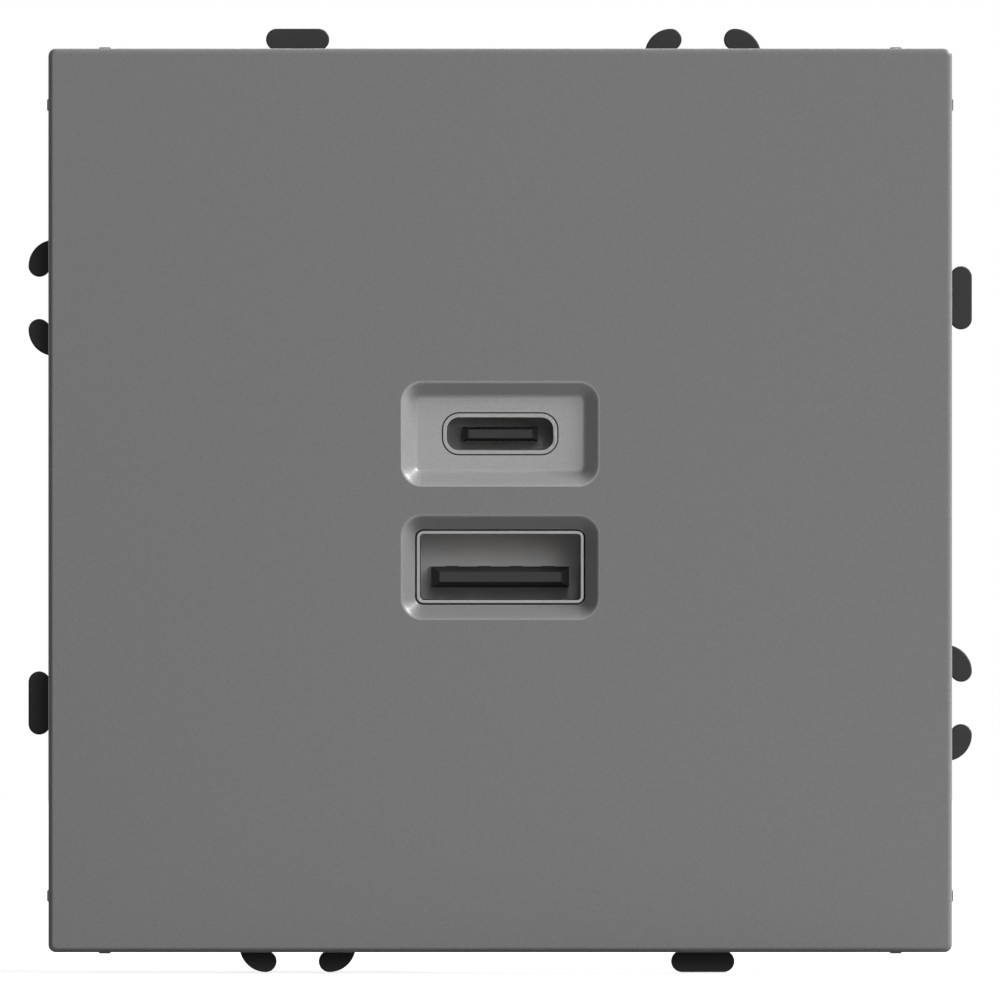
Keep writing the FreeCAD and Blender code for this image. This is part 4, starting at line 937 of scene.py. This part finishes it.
class SOCKET_OT_coils(bpy.types.Operator):
    """Finish the transformer and wind the choke"""

    bl_idname = "wall_socket.coils"
    bl_label = "Coils"

    def execute(self, context):
        ferrite = ground_ferrite("ferrite")
        bobbin = moulded(
            "bobbin_plastic", (0.016, 0.016, 0.017), pitch=0.0002, depth=0.000006, roughness=0.4, specular=0.4)
        tape = wrapped("polyester_tape", (0.72, 0.46, 0.02), 0.0022)
        wire = plated("enamelled_wire", context.scene.wall_socket.metal.copper, 0.25)
        finished("transformer_core", [ferrite], bevel=0.15 * MM)
        finished("transformer_bobbin", [bobbin], bevel=0.08 * MM)
        finished("transformer_winding", [tape], bevel=0.35 * MM, segments=3)
        finished("choke_core", [ferrite], bevel=0.2 * MM)
        low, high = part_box("choke_winding")
        bar = 0.19 * MM
        outer = (high.x - low.x) / 2
        layers = [
            helix(f"choke_layer_{index}", CHOKE_CENTRE, low.y + bar, high.y - bar,
                  outer - bar * (1 + 1.7 * index), bar * 2.05, bar, 8, 28, wire)
            for index in range(3)
        ]
        for layer in layers:
            layer.data.shade_smooth()
        inner = outer - bar * 4
        fill = turned_mesh(
            "choke_fill", [(0, low.y), (inner, low.y), (inner, high.y), (0, high.y)], CHOKE_CENTRE, segments=24)
        fill.materials.append(wire)
        stand_for("choke_winding", layers + [add_object("choke_fill", fill)])
        return {"FINISHED"}


class SOCKET_OT_components(bpy.types.Operator):
    """Finish the capacitors, the fuse and the larger chips"""

    bl_idname = "wall_socket.components"
    bl_label = "Components"

    def execute(self, context):
        sleeve = moulded(
            "capacitor_sleeve", (0.012, 0.014, 0.02), pitch=0.0008, depth=0.000004, roughness=0.22, specular=0.5)
        bare = plated("drawn_aluminium", (0.62, 0.62, 0.63), 0.26)
        seal = moulded("rubber_seal", (0.02, 0.02, 0.02), pitch=0.0002, depth=0.000008, roughness=0.7, specular=0.2)
        for name in ("upper", "lower"):
            capacitor(f"bulk_capacitor_{name}", sleeve, bare, seal)
            capacitor(f"output_capacitor_{name}", bare, bare, seal)
        resin = moulded("chip_resin", (0.017, 0.017, 0.018), pitch=0.0001, depth=0.000005, specular=0.35)
        pins = plated("chip_legs", context.scene.wall_socket.metal.solder, 0.22)
        for node in ("optocoupler", "bridge_rectifier", "switching_chip", "port_control_chip"):
            finished(node, [resin], bevel=0.12 * MM)
        chip_legs(pins)
        case = moulded("fuse_case", (0.014, 0.014, 0.014), roughness=0.45, specular=0.4)
        finished("fuse", [case], bevel=0.3 * MM)
        film = moulded("film_case", (0.7, 0.46, 0.04), pitch=0.0004, depth=0.000008, roughness=0.3, specular=0.5)
        finished("film_capacitor", [film], bevel=0.35 * MM, segments=3)
        finished("varistor", [dipped("varistor_coat", (0.01, 0.05, 0.24))], bevel=0.5 * MM, segments=4)
        finished("safety_capacitor", [dipped("disc_coat", (0.015, 0.11, 0.35))], bevel=0.5 * MM, segments=4)
        return {"FINISHED"}


def capacitor(node, sleeve, end, seal):
    """A can with a crimp above its rubber seal and a scored vent in its free end."""
    low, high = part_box(node)
    radius = (high.x - low.x) / 2
    centre = ((low.x + high.x) / 2, (low.z + high.z) / 2)
    front, rear = low.y, high.y
    lip = radius * 0.86
    profile = [
        (0, rear - 0.5 * MM), (radius * 0.8, rear - 0.5 * MM), (radius * 0.8, rear), (radius - 0.12 * MM, rear),
        (radius, rear - 0.14 * MM), (radius, rear - 1.3 * MM), (radius - 0.22 * MM, rear - 1.65 * MM),
        (radius - 0.22 * MM, rear - 1.85 * MM), (radius, rear - 2.2 * MM), (radius, front + 0.4 * MM),
        (radius - 0.1 * MM, front + 0.14 * MM), (radius - 0.32 * MM, front), (lip, front),
        (lip - 0.05 * MM, front + 0.06 * MM), (0, front + 0.06 * MM),
    ]
    can = add_object(f"{node}_finished", turned_mesh(f"{node}_finished", profile, centre))
    paint(can, sleeve, end, seal)
    for face in can.data.polygons:
        if math.hypot(face.center.x - centre[0], face.center.z - centre[1]) < lip - 0.03 * MM:
            face.material_index = 1 if face.center.y < front + MM else 2
    shade(can)
    arms = []
    for index in range(3):
        turn = Matrix.Rotation(index * 2 * math.pi / 3 + 0.4, 4, "Y")
        arm = box_mesh("arm", (0, 0, -0.09 * MM), (radius * 0.62, 0.05 * MM, 0.09 * MM))
        arm.transform(Matrix.Translation((centre[0], front + 0.02 * MM, centre[1])) @ turn)
        arm.materials.append(end)
        arms.append(add_object(f"{node}_vent_{index}", arm))
    stand_for(node, [can] + arms)


def chip_legs(metal):
    """The bent legs of the chips on both faces of the main board."""
    places, turns = [], []
    half_turn = math.pi
    leg_turns = {
        (False, 1): (0, 0, 0), (False, -1): (0, half_turn, 0),
        (True, 1): (half_turn, 0, 0), (True, -1): (0, 0, half_turn),
    }
    rows = [
        ("optocoupler", 2, 2.54 * MM, MAIN_BOARD_FRONT_Y, True),
        ("bridge_rectifier", 2, 2.5 * MM, MAIN_BOARD_REAR_Y, False),
        ("switching_chip", 4, 1.27 * MM, MAIN_BOARD_REAR_Y, False),
    ]
    for node, count, pitch, board_y, front in rows:
        low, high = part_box(node)
        middle = (low.z + high.z) / 2
        for edge, hand in ((high.x, 1), (low.x, -1)):
            for index in range(count):
                places.append((edge, board_y, middle + (index - (count - 1) / 2) * pitch))
                turns.append(leg_turns[front, hand])
    scatter("chip_legs", gull_leg(), places, metal, "module", turns)


def gull_leg():
    """A leg that leaves a chip along +X and comes down to the board at y = 0."""
    bends = [(0, 0.9), (0.35, 0.9), (0.5, 0.1), (0.95, 0.1)]
    corners = [(0.0, -0.2), (0.0, 0.2), (-0.12, 0.2), (-0.12, -0.2)]
    build = bmesh.new()
    rings = [
        [build.verts.new((x * MM, max(0.0, y + lift) * MM, z * MM)) for lift, z in corners] for x, y in bends]
    skin(build, rings)
    build.faces.new(rings[0])
    build.faces.new(rings[-1])
    bmesh.ops.recalc_face_normals(build, faces=build.faces)
    return mesh_from(build, "leg")


class SOCKET_OT_studio(bpy.types.Operator):
    """Set up the floor, the background, the lamps and the camera"""

    bl_idname = "wall_socket.studio"
    bl_label = "Studio"

    def execute(self, context):
        studio = context.scene.wall_socket.studio
        context.scene.view_settings.view_transform = "Standard"
        make_floor(studio)
        make_background(studio)
        add_flags(studio)
        for name, direction, angle in LAMPS:
            add_lamp(f"{name}_light", direction, getattr(studio, f"{name}_level"), angle)
        add_camera(studio)
        return {"FINISHED"}


def seen_rays(bench):
    """One for rays from the camera, from gloss and through glass, and nothing for the others."""
    path = bench.add("ShaderNodeLightPath").outputs
    shown = bench.math("MAXIMUM", path["Is Camera Ray"], path["Is Glossy Ray"])
    return bench.math("MAXIMUM", shown, path["Is Transmission Ray"])


def make_floor(studio):
    """A pale floor just below the part, which the camera sees brighter than the part does."""
    build = bmesh.new()
    bmesh.ops.create_grid(build, x_segments=1, y_segments=1, size=2.0)
    bmesh.ops.translate(build, vec=(0, 0, cad_box[0].z - 0.03 * MM), verts=build.verts)
    floor = add_object("floor", mesh_from(build, "floor"))
    finish = Finish("pale_floor", studio.floor_colour, 0.9, specular=0.1)
    glow = finish.math("MULTIPLY", seen_rays(finish), studio.floor_glow)
    finish.feed(finish.shader, Emission_Color=(1, 1, 1, 1), Emission_Strength=glow)
    paint(floor, finish.material)


def rectangle(left, near, right, far):
    """The corners of a card."""
    return (left, near), (right, near), (right, far), (left, far)


def add_flags(studio):
    """Dark cards to the left and below, which keep those edges dark and don't show or cast shadows."""
    finish = Finish("dark_flag", (0, 0, 0), 1.0, specular=0.0)
    finish.feed(finish.shader, Emission_Color=(1, 1, 1, 1), Emission_Strength=studio.flag_level)
    ground = cad_box[0].z - 0.01 * MM
    cards = {
        "left_flag": [(-0.35, y, z) for y, z in rectangle(-0.6, -0.037, 0.6, 0.5)],
        "left_floor_flag": [(x, y, ground) for x, y in rectangle(-0.35, -0.3, -0.037, 0.3)],
        "lower_flag": [(x, y, ground) for x, y in rectangle(-0.036, -0.022, 0.036, -0.006)],
    }
    for name, corners in cards.items():
        mesh = bpy.data.meshes.new(name)
        mesh.from_pydata(corners, [], [(0, 1, 2, 3)])
        flag = add_object(name, mesh)
        paint(flag, finish.material)
        flag.visible_camera = False
        flag.visible_shadow = False
        flag.visible_transmission = False
        flag.visible_diffuse = name != "lower_flag"


def make_background(studio):
    """A white background that lights the part only as much as the ambient level says."""
    world = bpy.data.worlds.new("studio")
    world.use_nodes = True
    bench = NodeBench(world.node_tree)
    bench.tree.nodes.clear()
    mix = bench.add("ShaderNodeMixShader")
    bench.put(seen_rays(bench), mix.inputs[0])
    for socket, strength in zip(mix.inputs[1:], (studio.ambient, 1.0)):
        light = bench.feed(bench.add("ShaderNodeBackground"), Strength=strength, Color=(1, 1, 1, 1))
        bench.put(light.outputs[0], socket)
    bench.feed(bench.add("ShaderNodeOutputWorld"), Surface=mix.outputs[0])
    bpy.context.scene.world = world


def add_camera(studio):
    """A camera far in front of the face, with a lens that shows the chosen width there."""
    camera = bpy.data.cameras.new("camera")
    camera.sensor_width = 36
    camera.lens = camera.sensor_width * studio.camera_distance / studio.view_width
    camera.clip_start = 0.1
    camera.clip_end = 20
    holder = add_object("camera", camera)
    aim_x, aim_z = -0.016 * MM, 0.031 * MM
    holder.location = (aim_x, FACE_Y - studio.camera_distance, aim_z)
    holder.rotation_euler = (math.pi / 2, 0, 0)
    bpy.context.scene.camera = holder


def add_lamp(name, direction, level, angle):
    """A soft distant lamp that stands in a direction. At level 1 a colour that faces it renders as written."""
    lamp = bpy.data.lights.new(name, "SUN")
    lamp.energy = math.pi * level
    lamp.angle = math.radians(angle)
    holder = add_object(name, lamp)
    holder.rotation_euler = Vector(direction).to_track_quat("Z", "Y").to_euler()


class SocketSettings(bpy.types.PropertyGroup):
    plate: PointerProperty(type=PlateSettings, name="Plate")
    plastic: PointerProperty(type=PlasticSettings, name="Plastic")
    metal: PointerProperty(type=MetalSettings, name="Metal")
    thread: PointerProperty(type=ThreadSettings, name="Threads")
    studio: PointerProperty(type=StudioSettings, name="Studio")


OPERATORS = (
    SOCKET_OT_studio, SOCKET_OT_face_plate, SOCKET_OT_support_frame, SOCKET_OT_receptacles, SOCKET_OT_casing,
    SOCKET_OT_screws, SOCKET_OT_claws, SOCKET_OT_terminals, SOCKET_OT_boards, SOCKET_OT_coils, SOCKET_OT_components,
)


class VIEW3D_PT_wall_socket(bpy.types.Panel):
    """Lists the settings and the steps that finish the socket"""

    bl_label = "Wall socket"
    bl_space_type = "VIEW_3D"
    bl_region_type = "UI"
    bl_category = "Wall socket"

    def draw(self, context):
        sizes = context.scene.wall_socket
        for name in ("plate", "plastic", "metal", "thread", "studio"):
            box = self.layout.box()
            box.label(text=name.capitalize())
            group = getattr(sizes, name)
            for field in group.__annotations__:
                box.prop(group, field)
        for operator in OPERATORS:
            self.layout.operator(operator.bl_idname)


CLASSES = (
    PlateSettings, PlasticSettings, MetalSettings, ThreadSettings, StudioSettings, SocketSettings,
) + OPERATORS + (VIEW3D_PT_wall_socket,)


def register():
    for item in CLASSES:
        bpy.utils.register_class(item)
    bpy.types.Scene.wall_socket = PointerProperty(type=SocketSettings)


def unregister():
    del bpy.types.Scene.wall_socket
    for item in reversed(CLASSES):
        bpy.utils.unregister_class(item)


def main():
    register()
    for operator in OPERATORS:
        group, name = operator.bl_idname.split(".")
        getattr(getattr(bpy.ops, group), name)()


if __name__ == "__main__":
    main()
